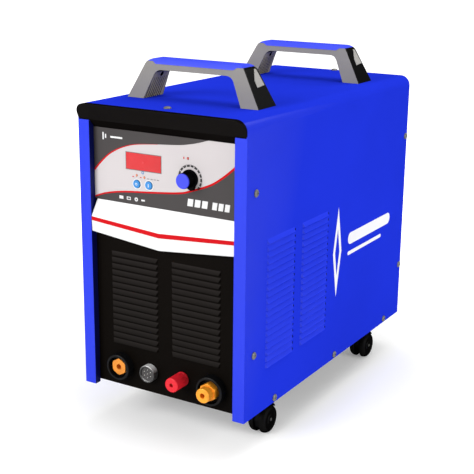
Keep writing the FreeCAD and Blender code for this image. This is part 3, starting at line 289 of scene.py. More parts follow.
def powder_coat(name, colour):
    """Sheet-metal powder coat: orange peel, faint handling scratches, and paler edges as a painted
    highlight. Painted shade darkens the inside and the cut edges in the side walls, and painted light
    makes the louvres a little paler than the flat."""
    n = Nodes(name)
    peel = n.noise(0.0022, 2)
    micro = n.noise(0.0004, 2)
    broad = n.noise(0.22, 3)
    tone = n.blend(n.swing(broad), rgba(shade(colour, 0.94)), rgba(shade(colour, 1.05)))
    mask, normal = n.edge(0.9 * MM)
    # painted highlight: every edge is blended evenly towards a paler blue
    tone = n.blend(n.maths("MULTIPLY", mask, 0.4), tone, rgba(shade(colour, 1.6)))
    hair = n.noise(0.004, 2, n.stretched((1.0, 0.12, 1.0)))
    other = n.noise(0.004, 2, n.stretched((1.0, 1.0, 0.12)))
    lines = n.maths("MAXIMUM", n.span(hair, 0.735, 0.76), n.span(other, 0.745, 0.77))
    tone = n.blend(n.maths("MULTIPLY", lines, 0.12), tone, rgba(shade(colour, 2.0)))
    # painted shade: faces turned towards the unit's middle, inside the cover, are near black
    tone = n.blend(n.inward(), tone, rgba(shade(colour, 0.12)))
    place = n.axes(n.object)
    flank = n.span(place["Z"], FLANK_START, FLANK_FULL)
    # painted light: upward-turning faces low on the sides, the louvre hoods, are blended paler
    lit_hood = n.maths("MULTIPLY", flank, n.span(n.flat_normal()["Z"], 0.04, 0.2))
    tone = n.blend(n.maths("MULTIPLY", lit_hood, 0.3), tone, LOUVRE_LIT_BLUE)
    # painted shade: edge-on faces within the side wall's thickness, the walls of holes and the louvre
    # mouths, are near black
    away = n.maths("ABSOLUTE", place["X"])
    sheet = n.maths("MULTIPLY", n.maths("GREATER_THAN", away, SIDE_WALL - WALL_DEPTH),
                    n.maths("LESS_THAN", away, SIDE_WALL + WALL_SLACK))
    middling = n.maths("LESS_THAN", n.maths("ABSOLUTE", place["Y"]), COVER_HIGH.y - END_MARGIN)
    cut = n.maths("LESS_THAN", n.maths("ABSOLUTE", n.flat_normal()["X"]), 0.3)
    shaded_openings = n.maths("MULTIPLY", n.maths("MULTIPLY", sheet, cut), n.maths("MULTIPLY", middling, flank))
    tone = n.blend(shaded_openings, tone, rgba(shade(colour, 0.03)))
    haze = n.noise(0.07, 5)
    roughness = n.maths("ADD", n.swing(haze, 0.34, 0.46), n.maths("MULTIPLY", lines, 0.15))
    height = n.maths("ADD", n.maths("MULTIPLY", peel, 0.8), n.maths("MULTIPLY", micro, 0.2))
    n.feed(n.shader, Base_Color=tone, Roughness=roughness, Specular_IOR_Level=n.gleam(0.4),
           Specular_Tint=(0.6, 0.7, 1.0, 1), Normal=n.bump(height, 0.03 * MM, normal))
    return n.material


def turned_metal(name, colour, centre, rough=0.22, metal=1.0, painted_lit=None):
    """Lathe-cut metal: fine tool rings about an axis along Y through centre. lit is the colour
    that its upper side takes from the light above it."""
    n = Nodes(name)
    offset = n.add("ShaderNodeMapping")
    n.link(n.object, offset.inputs["Vector"])
    offset.inputs["Location"].default_value = (-centre.x, 0, -centre.z)
    flat = n.add("ShaderNodeMapping")
    n.link(offset.outputs["Vector"], flat.inputs["Vector"])
    flat.inputs["Scale"].default_value = (1, 0, 1)
    radius = n.add("ShaderNodeVectorMath", operation="LENGTH")
    n.link(flat.outputs["Vector"], radius.inputs[0])
    rings = n.add("ShaderNodeTexNoise", noise_dimensions="1D")
    n.feed(rings, Scale=2600.0, Detail=3.0)
    n.link(radius.outputs["Value"], rings.inputs["W"])
    stain = n.noise(0.006, 4)
    tone = n.blend(n.span(stain, 0.42, 0.72), rgba(colour), rgba(shade(colour, 0.80)))
    mask, normal = n.edge(0.4 * MM)
    # painted highlight: every edge is blended evenly towards a paler colour
    tone = n.blend(n.maths("MULTIPLY", mask, 0.5), tone, rgba(shade(colour, 1.3)))
    # painted highlight: faces turned upwards take the lighter colour
    if painted_lit:
        rise = n.axes(n.add("ShaderNodeNewGeometry").outputs["Normal"])["Z"]
        tone = n.blend(n.span(rise, 0.25, 0.85), tone, rgba(painted_lit))
    roughness = n.swing(stain, rough - 0.06, rough + 0.12)
    n.feed(n.shader, Base_Color=tone, Metallic=metal, Roughness=roughness,
           Normal=n.bump(rings.outputs["Fac"], 0.015 * MM, normal))
    return n.material


DISPLAY_RED = (0.45, 0.012, 0.015, 1)
DISPLAY_RED_PALE = (0.51, 0.018, 0.022, 1)
LAMP_RED = (0.42, 0.012, 0.015, 1)
LAMP_AMBER = (0.62, 0.20, 0.09, 1)
HOT_SPOT = (0.9, 0.45, 0.35, 1)
GLOW = 0.12


def tinted_window(name):
    """Red display pane: glossy front with a faint mottle of light behind it."""
    n = Nodes(name)
    cloud = n.noise(0.02, 2)
    tone = n.blend(n.swing(cloud), DISPLAY_RED, DISPLAY_RED_PALE)
    smudge = n.span(n.noise(0.012, 5), 0.35, 0.7, 0.14, 0.28)
    n.feed(n.shader, Base_Color=tone, Roughness=smudge, Specular_IOR_Level=0.4,
           Emission_Color=tone, Emission_Strength=GLOW)
    return n.material


def lamp_lens(name):
    """Red lamp above the knob, amber ones above the buttons, each with a pale hot spot."""
    n = Nodes(name)
    heights = [spot[1] for spot in lamp_spots()]
    level = (min(heights) + max(heights)) / 2
    upper = n.span(n.axes(n.object)["Z"], level - 1 * MM, level + 1 * MM)
    tone = n.blend(upper, LAMP_AMBER, LAMP_RED)
    facing = n.add("ShaderNodeLayerWeight").outputs["Facing"]
    tone = n.blend(n.span(facing, 0.0, 0.35, 0.35, 0.0), tone, HOT_SPOT)
    cloud = n.noise(0.0012, 2)
    n.feed(n.shader, Base_Color=tone, Roughness=n.swing(cloud, 0.16, 0.28),
           Specular_IOR_Level=0.3, Emission_Color=tone, Emission_Strength=GLOW)
    return n.material


def board_green(name):
    """Solder mask with the paler traces under it."""
    n = Nodes(name)
    brick = n.add("ShaderNodeTexBrick")
    n.link(n.object, brick.inputs["Vector"])
    n.feed(brick, Scale=90.0, Color1=(0.01, 0.14, 0.05, 1), Color2=(0.012, 0.18, 0.06, 1),
           Mortar=(0.05, 0.32, 0.12, 1))
    n.feed(n.shader, Base_Color=brick.outputs["Color"], Roughness=0.3,
           Normal=n.bump(brick.outputs["Fac"], 0.05 * MM))
    return n.material


def winding(name):
    """Varnished copper turns on a dark core."""
    n = Nodes(name)
    wave = n.add("ShaderNodeTexWave", bands_direction="Z")
    n.link(n.object, wave.inputs["Vector"])
    n.feed(wave, Scale=110.0, Distortion=0.6)
    tone = n.blend(wave.outputs["Fac"], (0.02, 0.018, 0.016, 1), (0.30, 0.11, 0.03, 1))
    n.feed(n.shader, Base_Color=tone, Roughness=0.4,
           Normal=n.bump(wave.outputs["Fac"], 0.4 * MM))
    return n.material


CASE_BLUE = (0.013, 0.032, 0.62)
GRIP_BLUE = (0.052, 0.075, 0.74)
LOUVRE_PITCH = 11 * MM


def make_materials():
    """Every finish, by a plain name."""
    plastic = finish_material
    return {
        "cover": powder_coat("powder_coat_blue", CASE_BLUE),
        "pan": plastic("powder_coat_black", (0.012, 0.012, 0.013), 0.42, grain=1.6, depth=0.03,
                       dust=0.25),
        "panel": slatted_moulding("moulded_black", (0.0034, 0.0025, 0.0019), (0.015, 0.0125, 0.0115),
                                  "front_panel", LOUVRE_PITCH),
        "visor": plastic("moulded_brown_black", (0.0042, 0.0034, 0.0031), 0.5, grain=0.8,
                         depth=0.03, dust=0.02, mottle=0.12, gloss=0.04,
                         edge_colour=(0.02, 0.02, 0.02)),
        "overlay": plastic("printed_film_dark", (0.038, 0.033, 0.033), 0.42, grain=0.5,
                           depth=0.006, mottle=0.04),
        "field": plastic("printed_film_pale", (0.50, 0.465, 0.47), 0.40, grain=0.5, depth=0.006,
                         mottle=0.02),
        "red_ink": plastic("printed_red", (0.50, 0.006, 0.010), 0.45, grain=0.5, depth=0.006,
                           mottle=0.05, gloss=0.04),
        "white_ink": plastic("printed_white", (0.66, 0.66, 0.66), 0.42, grain=0.5, depth=0.006,
                             mottle=0.02),
        "side_ink": plastic("printed_white_side", (0.84, 0.84, 0.86), 0.45, grain=0.6, depth=0.01,
                            mottle=0.03, dust=0.1),
        "dark_ink": plastic("printed_grey", (0.022, 0.021, 0.022), 0.42, grain=0.5, depth=0.006),
        "grey_ink": plastic("printed_mid_grey", (0.21, 0.19, 0.19), 0.42, grain=0.5, depth=0.006),
        "cyan_ink": plastic("printed_blue", (0.03, 0.18, 0.42), 0.42, grain=0.5, depth=0.006),
        "trim": plastic("gloss_white", (0.68, 0.68, 0.68), 0.3, grain=0.9, depth=0.008, mottle=0.02,
                        edge_colour=(0.75, 0.75, 0.75)),
        "window": tinted_window("tinted_red"),
        "knob": plastic("knob_black", (0.0012, 0.0012, 0.0014), 0.4, grain=0.5, depth=0.02,
                        gloss=0.04),
        "knob_cap": plastic("knob_blue", (0.040, 0.055, 0.70), 0.36, grain=0.6, depth=0.01),
        "button": plastic("button_blue", (0.035, 0.22, 0.55), 0.34, grain=0.5, depth=0.01),
        "lamp": lamp_lens("lamp_lens"),
        "ring": plastic("insulator_black", (0.0045, 0.0045, 0.005), 0.36, grain=0.9, depth=0.02,
                        dust=0.06, gloss=0.14),
        "insert": plastic("insulator_grey", (0.055, 0.052, 0.052), 0.45, grain=0.6, depth=0.02),
        "post": plastic("post_red", (0.66, 0.014, 0.026), 0.34, grain=0.8, depth=0.01),
        "handle": plastic("handle_black", (0.006, 0.006, 0.006), 0.5, grain=0.9, depth=0.04,
                          gloss=0.1, inward=(0.50, 0.44, 0.25)),
        "shell": plastic("handle_grey", (0.215, 0.204, 0.187), 0.5, grain=0.9, depth=0.03,
                         mottle=0.05, gloss=0.2, edge_colour=(0.30, 0.29, 0.27),
                         inward=(0.30, 0.275, 0.19), outward=(0.006, 0.006, 0.006)),
        "pad": plastic("handle_pad_grey", (0.36, 0.35, 0.33), 0.55, grain=0.7, depth=0.03),
        "grip": plastic("grip_blue", GRIP_BLUE, 0.52, grain=0.7, depth=0.03, mottle=0.05,
                        gloss=0.2),
        "fork": plastic("fork_black", (0.003, 0.003, 0.0033), 0.40, grain=1.8, depth=0.03,
                        dust=0.02, edge_colour=(0.02, 0.02, 0.02), gloss=0.06),
        "tyre": plastic("wheel_black", (0.003, 0.0028, 0.0028), 0.5, grain=1.1, depth=0.06,
                        dust=0.03, edge_colour=(0.02, 0.02, 0.02), gloss=0.06),
        "axle": plastic("axle_steel", (0.06, 0.06, 0.058), 0.42, grain=0.8, depth=0.02, metal=0.6),
        "zinc": plastic("zinc_plate", (0.20, 0.195, 0.18), 0.42, grain=0.8, depth=0.02, metal=0.6,
                        mottle=0.15),
        "fan": plastic("fan_black", (0.012, 0.012, 0.012), 0.5, grain=0.9, depth=0.03, dust=0.25),
        "wire": plastic("wire_plated", (0.62, 0.62, 0.63), 0.26, grain=2.5, depth=0.02, metal=1.0),
        "breaker": plastic("breaker_grey", (0.42, 0.42, 0.40), 0.42, grain=0.8, depth=0.02),
        "plate": plastic("rating_plate_metal", (0.50, 0.50, 0.51), 0.38, grain=0.4, depth=0.01,
                         metal=0.8),
        "sink": plastic("extruded_aluminium", (0.60, 0.60, 0.62), 0.32, grain=1.2, depth=0.02,
                        metal=1.0),
        "board": board_green("solder_mask"),
        "winding": winding("varnished_winding"),
        "segment": plastic("display_block", (0.05, 0.012, 0.012), 0.5),
        "chrome": turned_metal("plated_ring", (0.055, 0.055, 0.055), middle("control_socket_shell"),
                               0.3, metal=0.4, painted_lit=(0.95, 0.95, 0.95)),
        "brass_work": turned_metal("brass_work", (0.80, 0.27, 0.022), middle("work_socket_contact"),
                                   0.36, metal=0.3),
        "brass_torch": turned_metal("brass_torch", (0.98, 0.36, 0.02),
                                    middle("torch_socket_fitting"), 0.36, metal=0.3),
        "pin": plastic("plated_pin", (0.75, 0.74, 0.70), 0.3, grain=0.4, depth=0.005, metal=0.5),
        "brass": turned_metal("brass_plain", (0.85, 0.52, 0.20), middle("air_inlet")),
    }


LOOKS = {
    "cover": ["outer_cover"],
    "pan": ["base_tray", "rear_panel"],
    "panel": ["front_panel"],
    "visor": ["visor"],
    "overlay": ["control_panel"],
    "trim": ["chevron_band"],
    "window": ["display_window"],
    "segment": ["display_module"],
    "board": ["control_board", "power_board"],
    "knob": ["current_knob"],
    "knob_cap": ["knob_cap"],
    "button": ["left_button", "right_button"],
    "lamp": ["indicator_leds"],
    "ring": ["work_socket_housing", "torch_socket_housing"],
    "brass_work": ["work_socket_contact"],
    "brass_torch": ["torch_socket_fitting"],
    "brass": ["pilot_post_stud", "air_inlet", "air_valve"],
    "chrome": ["control_socket_shell"],
    "insert": ["control_socket_insert"],
    "post": ["pilot_post_base", "pilot_post_cap"],
    "handle": ["front_handle_core", "rear_handle_core"],
    "shell": ["front_handle_faces", "rear_handle_faces"],
    "grip": ["front_handle_grip", "rear_handle_grip"],
    "zinc": ["cover_screws", "handle_screws", "caster_bolts", "potentiometer", "ground_stud"],
    "fan": ["fan_frame", "fan_rotor", "cable_gland", "breaker_lever"],
    "wire": ["fan_guard"],
    "breaker": ["breaker_body"],
    "sink": ["heat_sink"],
    "winding": ["main_transformer", "output_choke"],
    "fork": ["caster_plates"],
}
SMOOTH_ANGLE = math.radians(32)


def dress(node, material):
    """Give a CAD node its finish and smooth its round faces."""
    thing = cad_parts[node]
    if not thing.material_slots:
        thing.data.materials.append(material)
    for holder in thing.material_slots:
        holder.material = material
    thing.data.shade_smooth()
    thing.data.set_sharp_from_angle(angle=SMOOTH_ANGLE)


def dress_all(looks):
    for look, nodes in LOOKS.items():
        for node in nodes:
            dress(node, looks[look])
    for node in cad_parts:
        if node.startswith("caster_hood"):
            dress(node, looks["fork"])
        elif node.startswith("caster_wheels"):
            dress(node, looks["tyre"])
        elif node.startswith("caster_axle"):
            dress(node, looks["axle"])


# ---- Piece building ------------------------------------------------------------------------
def register(name, mesh, material, body):
    """Put a finished mesh in the scene, riding on a body."""
    thing = bpy.data.objects.new(name, mesh)
    bpy.context.scene.collection.objects.link(thing)
    mesh.materials.append(material)
    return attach(thing, body)


def smooth_line(points, steps=8):
    """Catmull-Rom curve through the points."""
    padded = [points[0]] + list(points) + [points[-1]]
    line = []
    for a, b, c, d in zip(padded, padded[1:], padded[2:], padded[3:]):
        for i in range(steps):
            t = i / steps
            line.append(tuple(
                0.5 * (2 * q + (r - p) * t + (2 * p - 5 * q + 4 * r - s) * t * t
                       + (3 * q - p - 3 * r + s) * t ** 3)
                for p, q, r, s in zip(a, b, c, d)))
    line.append(tuple(points[-1]))
    return line


def film(name, loops, place, material, body="case", thick=FILM):
    """Thin printed layer. loops are closed outlines in metres, a loop inside another is a hole;
    place maps (u, v, out) onto the surface."""
    curve = bpy.data.curves.new(name, "CURVE")
    curve.dimensions = "2D"
    curve.fill_mode = "BOTH"
    curve.extrude = thick / 2
    for loop in loops:
        spline = curve.splines.new("POLY")
        spline.points.add(len(loop) - 1)
        for point, (u, v) in zip(spline.points, loop):
            point.co = (u, v, 0, 1)
        spline.use_cyclic_u = True
    holder = bpy.data.objects.new(name + "_curve", curve)
    mesh = bpy.data.meshes.new_from_object(holder)
    bpy.data.objects.remove(holder)
    work = bmesh.new()
    work.from_mesh(mesh)
    bmesh.ops.remove_doubles(work, verts=work.verts, dist=SAME_PLACE)
    bmesh.ops.translate(work, verts=work.verts, vec=(0, 0, thick / 2))
    bmesh.ops.transform(work, matrix=place, verts=work.verts)
    bmesh.ops.recalc_face_normals(work, faces=work.faces)
    work.to_mesh(mesh)
    work.free()
    mesh.name = name
    return register(name, mesh, material, body)


def facing_front(y):
    """(u, v, out) -> (x, -out, z) on a plane at y."""
    return Matrix(((1, 0, 0, 0), (0, 0, -1, y), (0, 1, 0, 0), (0, 0, 0, 1)))


def facing_side(x, sign):
    """(u, v, out) on a side wall: u runs rearward, v up."""
    return Matrix(((0, 0, sign, x), (1, 0, 0, 0), (0, 1, 0, 0), (0, 0, 0, 1)))


def circle(centre, radius, count=32, start=0.0, end=360.0):
    """Points of an arc or a circle; angles in degrees."""
    closed = end - start >= 360
    steps = count if closed else count - 1
    return [(centre[0] + radius * math.cos(math.radians(start + (end - start) * i / steps)),
             centre[1] + radius * math.sin(math.radians(start + (end - start) * i / steps)))
            for i in range(count)]


def rectangle(u0, v0, u1, v1):
    return [(u0, v0), (u1, v0), (u1, v1), (u0, v1)]


def ribbon(line, width_start, width_end):
    """Closed outline of a stroke along a line, its width tapering."""
    left = []
    right = []
    for i, (u, v) in enumerate(line):
        before = line[max(i - 1, 0)]
        after = line[min(i + 1, len(line) - 1)]
        along = Vector((after[0] - before[0], after[1] - before[1])).normalized()
        half = (width_start + (width_end - width_start) * i / (len(line) - 1)) / 2
        left.append((u - along.y * half, v + along.x * half))
        right.append((u + along.y * half, v - along.x * half))
    return left + right[::-1]


# ---- Control panel graphics ----------------------------------------------------------------
# Points are in millimetres: across from the panel's middle, and up from its bottom edge.
FIELD_TOP_LINE = [(-138, 48.5), (-125, 62.5), (-109, 76.8), (-92, 87), (-75, 94), (-58, 98.7),
                  (-38, 101.5), (-6, 104.5), (30, 107.5), (52, 111.3), (69, 115.6), (86, 121)]
FIELD_LOW_LINE = [(-138, 3.8), (-114, 12.2), (-78, 19), (-18, 25), (30, 30.6), (52.5, 37),
                  (86.5, 50), (109, 64), (131, 82), (138, 89)]
RED_LINE_END = -8  # the upper red line stops here
LOW_LINE_WIDTHS = (2.4, 3.6)
TOP_LINE_WIDTHS = (3.0, 0.5)
EDGE_GAP = 0.1 * MM
WINDOW_GAP = 0.4 * MM
HOLE_RADII = (("left_button", 6.9 * MM), ("right_button", 6.9 * MM), ("current_knob", 4.2 * MM))
LAMP_HOLE = 2.1 * MM


def on_panel(points):
    """Panel millimetres to (x, z) in metres, kept inside the panel's edges."""
    half = OVERLAY_HIGH.x - EDGE_GAP
    return [(max(-half, min(half, u * MM)), min(OVERLAY_HIGH.z, OVERLAY_LOW.z + v * MM))
            for u, v in points]


def panel_graphics(looks):
    place = facing_front(OVERLAY_FACE)
    over = facing_front(OVERLAY_FACE - FILM)
    top = smooth_line(FIELD_TOP_LINE)
    low = smooth_line(FIELD_LOW_LINE)
    height = (OVERLAY_HIGH.z - OVERLAY_LOW.z) / MM
    field = on_panel(top + [(low[-1][0], height)] + low[::-1])
    film("overlay_pale_field", [field] + panel_holes(), place, looks["field"])
    film("overlay_line_low", [on_panel(ribbon(low, *LOW_LINE_WIDTHS))], over, looks["red_ink"])
    short = [p for p in top if p[0] < RED_LINE_END]
    film("overlay_line_high", [on_panel(ribbon(short, *TOP_LINE_WIDTHS))], over, looks["red_ink"])


def panel_holes():
    """Outlines where the pale field stays clear of the window, the knob, buttons and lamps."""
    low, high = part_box("display_window")
    holes = [grown(low, high, WINDOW_GAP)]
    for node, radius in HOLE_RADII:
        holes.append(circle(face_spot(node), radius))
    for spot in lamp_spots():
        holes.append(circle(spot, LAMP_HOLE, 20))
    return holes


def lamp_spots():
    """(x, z) of each lamp, from its separate shell in the CAD node."""
    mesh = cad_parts["indicator_leds"].data
    work = bmesh.new()
    work.from_mesh(mesh)
    bmesh.ops.remove_doubles(work, verts=work.verts, dist=SAME_PLACE)
    spots = []
    unseen = set(work.verts)
    while unseen:
        stack = [unseen.pop()]
        island = []
        while stack:
            vertex = stack.pop()
            island.append(vertex.co.copy())
            for link in vertex.link_edges:
                other = link.other_vert(vertex)
                if other in unseen:
                    unseen.remove(other)
                    stack.append(other)
        xs = [c.x for c in island]
        zs = [c.z for c in island]
        spots.append(((min(xs) + max(xs)) / 2, (min(zs) + max(zs)) / 2))
    work.free()
    return sorted(spots)


# Radii in millimetres and angles in degrees, running clockwise from the first dash.
DASH_COUNT = 13
DASH_FIRST = 198
DASH_SWEEP = 238
DASH_HALF = 7.3
DASH_RADII = (19.0, 21.8)
DIAL_LINE_RADII = (22.0, 22.6)
DIAL_LINE_SPILL = 6.6


def dial_scale(looks):
    """Ring of dashes about the knob, inside a thin line."""
    spot = face_spot("current_knob")
    marks = []
    for i in range(DASH_COUNT):
        angle = DASH_FIRST - DASH_SWEEP * i / (DASH_COUNT - 1)
        marks.append(arc_band(spot, *DASH_RADII, angle, DASH_HALF))
    half = DASH_SWEEP / 2
    marks.append(arc_band(spot, *DIAL_LINE_RADII, DASH_FIRST - half, half + DIAL_LINE_SPILL))
    film("dial_scale", marks, facing_front(OVERLAY_FACE - FILM), looks["dark_ink"])


def arc_band(spot, inner, outer, angle, half):
    """Piece of a ring about a spot: radii in millimetres, half its width in degrees."""
    steps = max(4, int(half))
    near = circle(spot, inner * MM, steps, angle - half, angle + half)
    return near + circle(spot, outer * MM, steps, angle - half, angle + half)[::-1]


def grown(low, high, margin):
    """Rectangle about a CAD box seen from the front."""
    return rectangle(low.x - margin, low.z - margin, high.x + margin, high.z + margin)


def slanted(u, width):
    """Leaning block of the row at the panel's lower right."""
    top = BLOCK_LOW + BLOCK_TALL
    lean = BLOCK_TALL * BLOCK_LEAN
    return [(u, BLOCK_LOW), (u + width, BLOCK_LOW), (u + width + lean, top), (u + lean, top)]


# Outlines in panel millimetres: rectangles are (left, low, right, high).
ICON_BARS = ((-88, 6.4, -80, 11.6), (-73, 6.4, -65, 11.6), (-71.6, 7.7, -66.4, 10.3))
ICON_DISC = (-54, 9)
ICON_DISC_RADII = (3.4, 1.3)
ICON_DASH = (-44, 7.6, -37, 10.4)
BLOCK_LOW = 12.2
BLOCK_TALL = 12.0
BLOCK_LEAN = 0.14
WIDE_BLOCK = 10.2
NARROW_BLOCK = 8.6
WIDE_BLOCKS_LEFT = (45, 58.5, 72)
NARROW_BLOCKS_LEFT = (91, 102.5, 114)
CORNER_BARS = ((-120, 101, -117.4, 113), (-115, 103.5, -112.4, 110.5), (-104, 105.2, -80, 108.2))
UPPER_LAMP_BAR = (38, 86.8, 40, 90.2)
# Rows of short bars: lefts, length, then how far their foot and head lie under the window.
LAMP_ROW = ((-61, -46), 3.2, 12.6, 11)
NOTE_ROW = ((-32, -25, -19, -13), 4.2, 13, 11.6)
# Rings, in metres.
BORDER_MARGINS = (1.2 * MM, 0.3 * MM)
HALO_RADII = (9.0 * MM, 7.2 * MM)
DISPLAY_MARK_RADII = (2.7 * MM, 1.5 * MM)
DISPLAY_MARK_LEFT = 1.5 * MM
DISPLAY_MARK_DOWN = 3.2 * MM


def bar_row(row, level):
    """Rectangles of one row of short bars under the window, whose foot is at level."""
    lefts, length, foot, head = row
    return [rectangle(u, level - foot, u + length, level - head) for u in lefts]


def small_marks(looks):
    """Plain shapes standing in the places of the panel's printed marks."""
    over = facing_front(OVERLAY_FACE - FILM)
    on_plate = facing_front(OVERLAY_FACE)
    low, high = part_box("display_window")
    border = [grown(low, high, margin) for margin in BORDER_MARGINS]
    film("display_border", border, over, looks["grey_ink"])
    halos = [circle(face_spot(node), radius) for node in ("left_button", "right_button")
             for radius in HALO_RADII]
    film("button_halos", halos, over, looks["white_ink"])
    outer, inner = ICON_DISC_RADII
    icons = [rectangle(*bar) for bar in ICON_BARS]
    icons += [circle(ICON_DISC, outer), circle(ICON_DISC, inner, 16), rectangle(*ICON_DASH)]
    blocks = [slanted(u, WIDE_BLOCK) for u in WIDE_BLOCKS_LEFT]
    blocks += [slanted(u, NARROW_BLOCK) for u in NARROW_BLOCKS_LEFT]
    corner = [rectangle(*bar) for bar in CORNER_BARS]
    level = low.z / MM - OVERLAY_LOW.z / MM
    dashes = bar_row(LAMP_ROW, level) + [rectangle(*UPPER_LAMP_BAR)]
    for name, loops, place, ink in (
            ("panel_icons", icons, on_plate, "white_ink"),
            ("panel_blocks", blocks, on_plate, "white_ink"),
            ("panel_corner_mark", corner, on_plate, "white_ink"),
            ("lamp_marks", dashes, over, "red_ink"),
            ("panel_notes", bar_row(NOTE_ROW, level), over, "grey_ink")):
        film(name, [on_panel(loop) for loop in loops], place, looks[ink])
    spot = (middle("display_window").x - DISPLAY_MARK_LEFT, low.z - DISPLAY_MARK_DOWN)
    outer, inner = DISPLAY_MARK_RADII
    film("display_mark", [circle(spot, outer, 24), circle(spot, inner, 20)], over, looks["cyan_ink"])


LEGEND_RADII = (2.2 * MM, 1.3 * MM)
LEGEND_HALF_WIDE = 0.7 * MM
LEGEND_HALF_TALL = 2.8 * MM


def button_legends(looks):
    """Raised marks on the two buttons, moving with them: a ring on the left, a bar on the right."""
    outer, inner = LEGEND_RADII
    spot = face_spot("left_button")
    ring = [circle(spot, outer), circle(spot, inner, 24)]
    x, z = face_spot("right_button")
    bar = [rectangle(x - LEGEND_HALF_WIDE, z - LEGEND_HALF_TALL, x + LEGEND_HALF_WIDE,
                     z + LEGEND_HALF_TALL)]
    for node, loops in (("left_button", ring), ("right_button", bar)):
        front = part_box(node)[0].y
        film(node + "_legend", loops, facing_front(front), looks["white_ink"], body=node)


def solid_prism(name, outline, place, thick, material, soften, body="case"):
    """Outline extruded outward, its front edges rounded."""
    mesh = bpy.data.meshes.new(name)
    work = bmesh.new()
    foot = [work.verts.new((u, v, 0)) for u, v in outline]
    head = [work.verts.new((u, v, thick)) for u, v in outline]
    work.faces.new(foot[::-1])
    top = work.faces.new(head)
    count = len(outline)
    for i in range(count):
        work.faces.new((foot[i], foot[(i + 1) % count], head[(i + 1) % count], head[i]))
    bmesh.ops.bevel(work, geom=list(top.edges), offset=soften, segments=3, profile=0.5,
                    affect="EDGES", clamp_overlap=True)
    bmesh.ops.transform(work, matrix=place, verts=work.verts)
    bmesh.ops.recalc_face_normals(work, faces=work.faces)
    work.to_mesh(mesh)
    work.free()
    return register(name, mesh, material, body)


def control_pins(looks):
    """Seven plated pins standing in the control socket's holes."""
    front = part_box("control_socket_insert")[0].y
    spot = face_spot("control_socket_insert")
    spots = [spot] + circle(spot, PIN_RING, 6, 30, 390)
    mesh = bpy.data.meshes.new("control_socket_pins")
    work = bmesh.new()
    for x, z in spots:
        place = Matrix.Translation((x, front + PIN_LENGTH / 2, z))
        bmesh.ops.create_cone(work, cap_ends=True, segments=16, radius1=PIN_RADIUS,
                              radius2=PIN_RADIUS * PIN_TIP_SHARE, depth=PIN_LENGTH,
                              matrix=place @ Matrix.Rotation(math.pi / 2, 4, "X"))
    work.to_mesh(mesh)
    work.free()
    register("control_socket_pins", mesh, looks["pin"], "case")


# Corners of the lobe in knob radii: along its direction and across it.
LOBE_CORNERS = ((0.5, -0.62), (0.92, -0.46), (1.24, -0.16), (1.24, 0.16), (0.92, 0.46), (0.5, 0.62))
LOBE_TURN = math.radians(-70)
LOBE_GAP = 0.2 * MM
LOBE_THICK = 5 * MM
LOBE_SOFTEN = 0.8 * MM


def knob_shadow_lobe(looks):
    """Black lobe on the knob's skirt, turned down to the right: a painted shadow of the knob made
    solid.
    """
    low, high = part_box("current_knob")
    x, z = face_spot("current_knob")
    reach = (high.x - low.x) / 2
    lobe = []
    for along, across in LOBE_CORNERS:
        u = along * reach
        v = across * reach
        lobe.append((x + u * math.cos(LOBE_TURN) - v * math.sin(LOBE_TURN),
                     z + u * math.sin(LOBE_TURN) + v * math.cos(LOBE_TURN)))
    solid_prism("knob_shadow_lobe", lobe, facing_front(high.y - LOBE_GAP), LOBE_THICK, looks["knob"],
                LOBE_SOFTEN, "knob")


STRIPE_PROUD = 0.25 * MM
STRIPE_BURIED = 0.3 * MM
STRIPE_BEVEL = 0.2 * MM
STATION_REACH = 0.5 * MM
NOSE_DEPTH = 0.1 * MM


def chevron_stripe(looks):
    """Red strip along the band's foremost face."""
    levels = {}
    for where, x in (("middle", 0.0), ("end", BAND_HALF)):
        near = [p for p in corners("chevron_band") if abs(abs(p.x) - x) < STATION_REACH]
        foremost = min(p.y for p in near)
        nose = [p.z for p in near if p.y < foremost + NOSE_DEPTH]
        levels[where] = (foremost, min(nose), max(nose))
    stations = (-BAND_HALF, 0.0, BAND_HALF)
    mesh = bpy.data.meshes.new("chevron_stripe")
    work = bmesh.new()
    rows = []
    for x in stations:
        front, low, high = levels["end" if x else "middle"]
        back = front + STRIPE_BURIED
        face = front - STRIPE_PROUD
        section = ((back, low), (face, low + STRIPE_BEVEL), (face, high - STRIPE_BEVEL), (back, high))
        rows.append([work.verts.new((x, y, z)) for y, z in section])
    for here, after in zip(rows, rows[1:]):
        for k in range(4):
            work.faces.new((here[k], here[(k + 1) % 4], after[(k + 1) % 4], after[k]))
    work.faces.new(rows[0])
    work.faces.new(rows[-1][::-1])
    bmesh.ops.recalc_face_normals(work, faces=work.faces)
    work.to_mesh(mesh)
    work.free()
    register("chevron_stripe", mesh, looks["red_ink"], "case")


# Metres forward of the cover's rear edge and up from its foot.
LOZENGE_FORWARD = 302 * MM
LOZENGE_UP = 205 * MM
LOZENGE_HALF_WIDE = 17 * MM
LOZENGE_HALF_TALL = 84 * MM
LOZENGE_HOLE_SHARE = 0.52
BARS_FORWARD = 258 * MM
SIDE_BARS = ((190 * MM, 208 * MM, 230 * MM), (150 * MM, 188 * MM, 195 * MM))  # length, low, high


def side_marks(looks):
    """Plain lozenge and bars on both sides of the cover, towards the rear."""
    u = COVER_HIGH.y - LOZENGE_FORWARD
    v = COVER_LOW.z + LOZENGE_UP
    loops = []
    for share in (1, LOZENGE_HOLE_SHARE):
        wide = LOZENGE_HALF_WIDE * share
        tall = LOZENGE_HALF_TALL * share
        loops.append([(u - wide, v), (u, v - tall), (u + wide, v), (u, v + tall)])
    start = COVER_HIGH.y - BARS_FORWARD
    for length, low, high in SIDE_BARS:
        loops.append(pill(start, COVER_LOW.z + low, start + length, COVER_LOW.z + high))
    for name, sign in (("right", 1), ("left", -1)):
        film("side_marks_" + name, loops, facing_side(sign * SIDE_WALL, sign), looks["side_ink"])


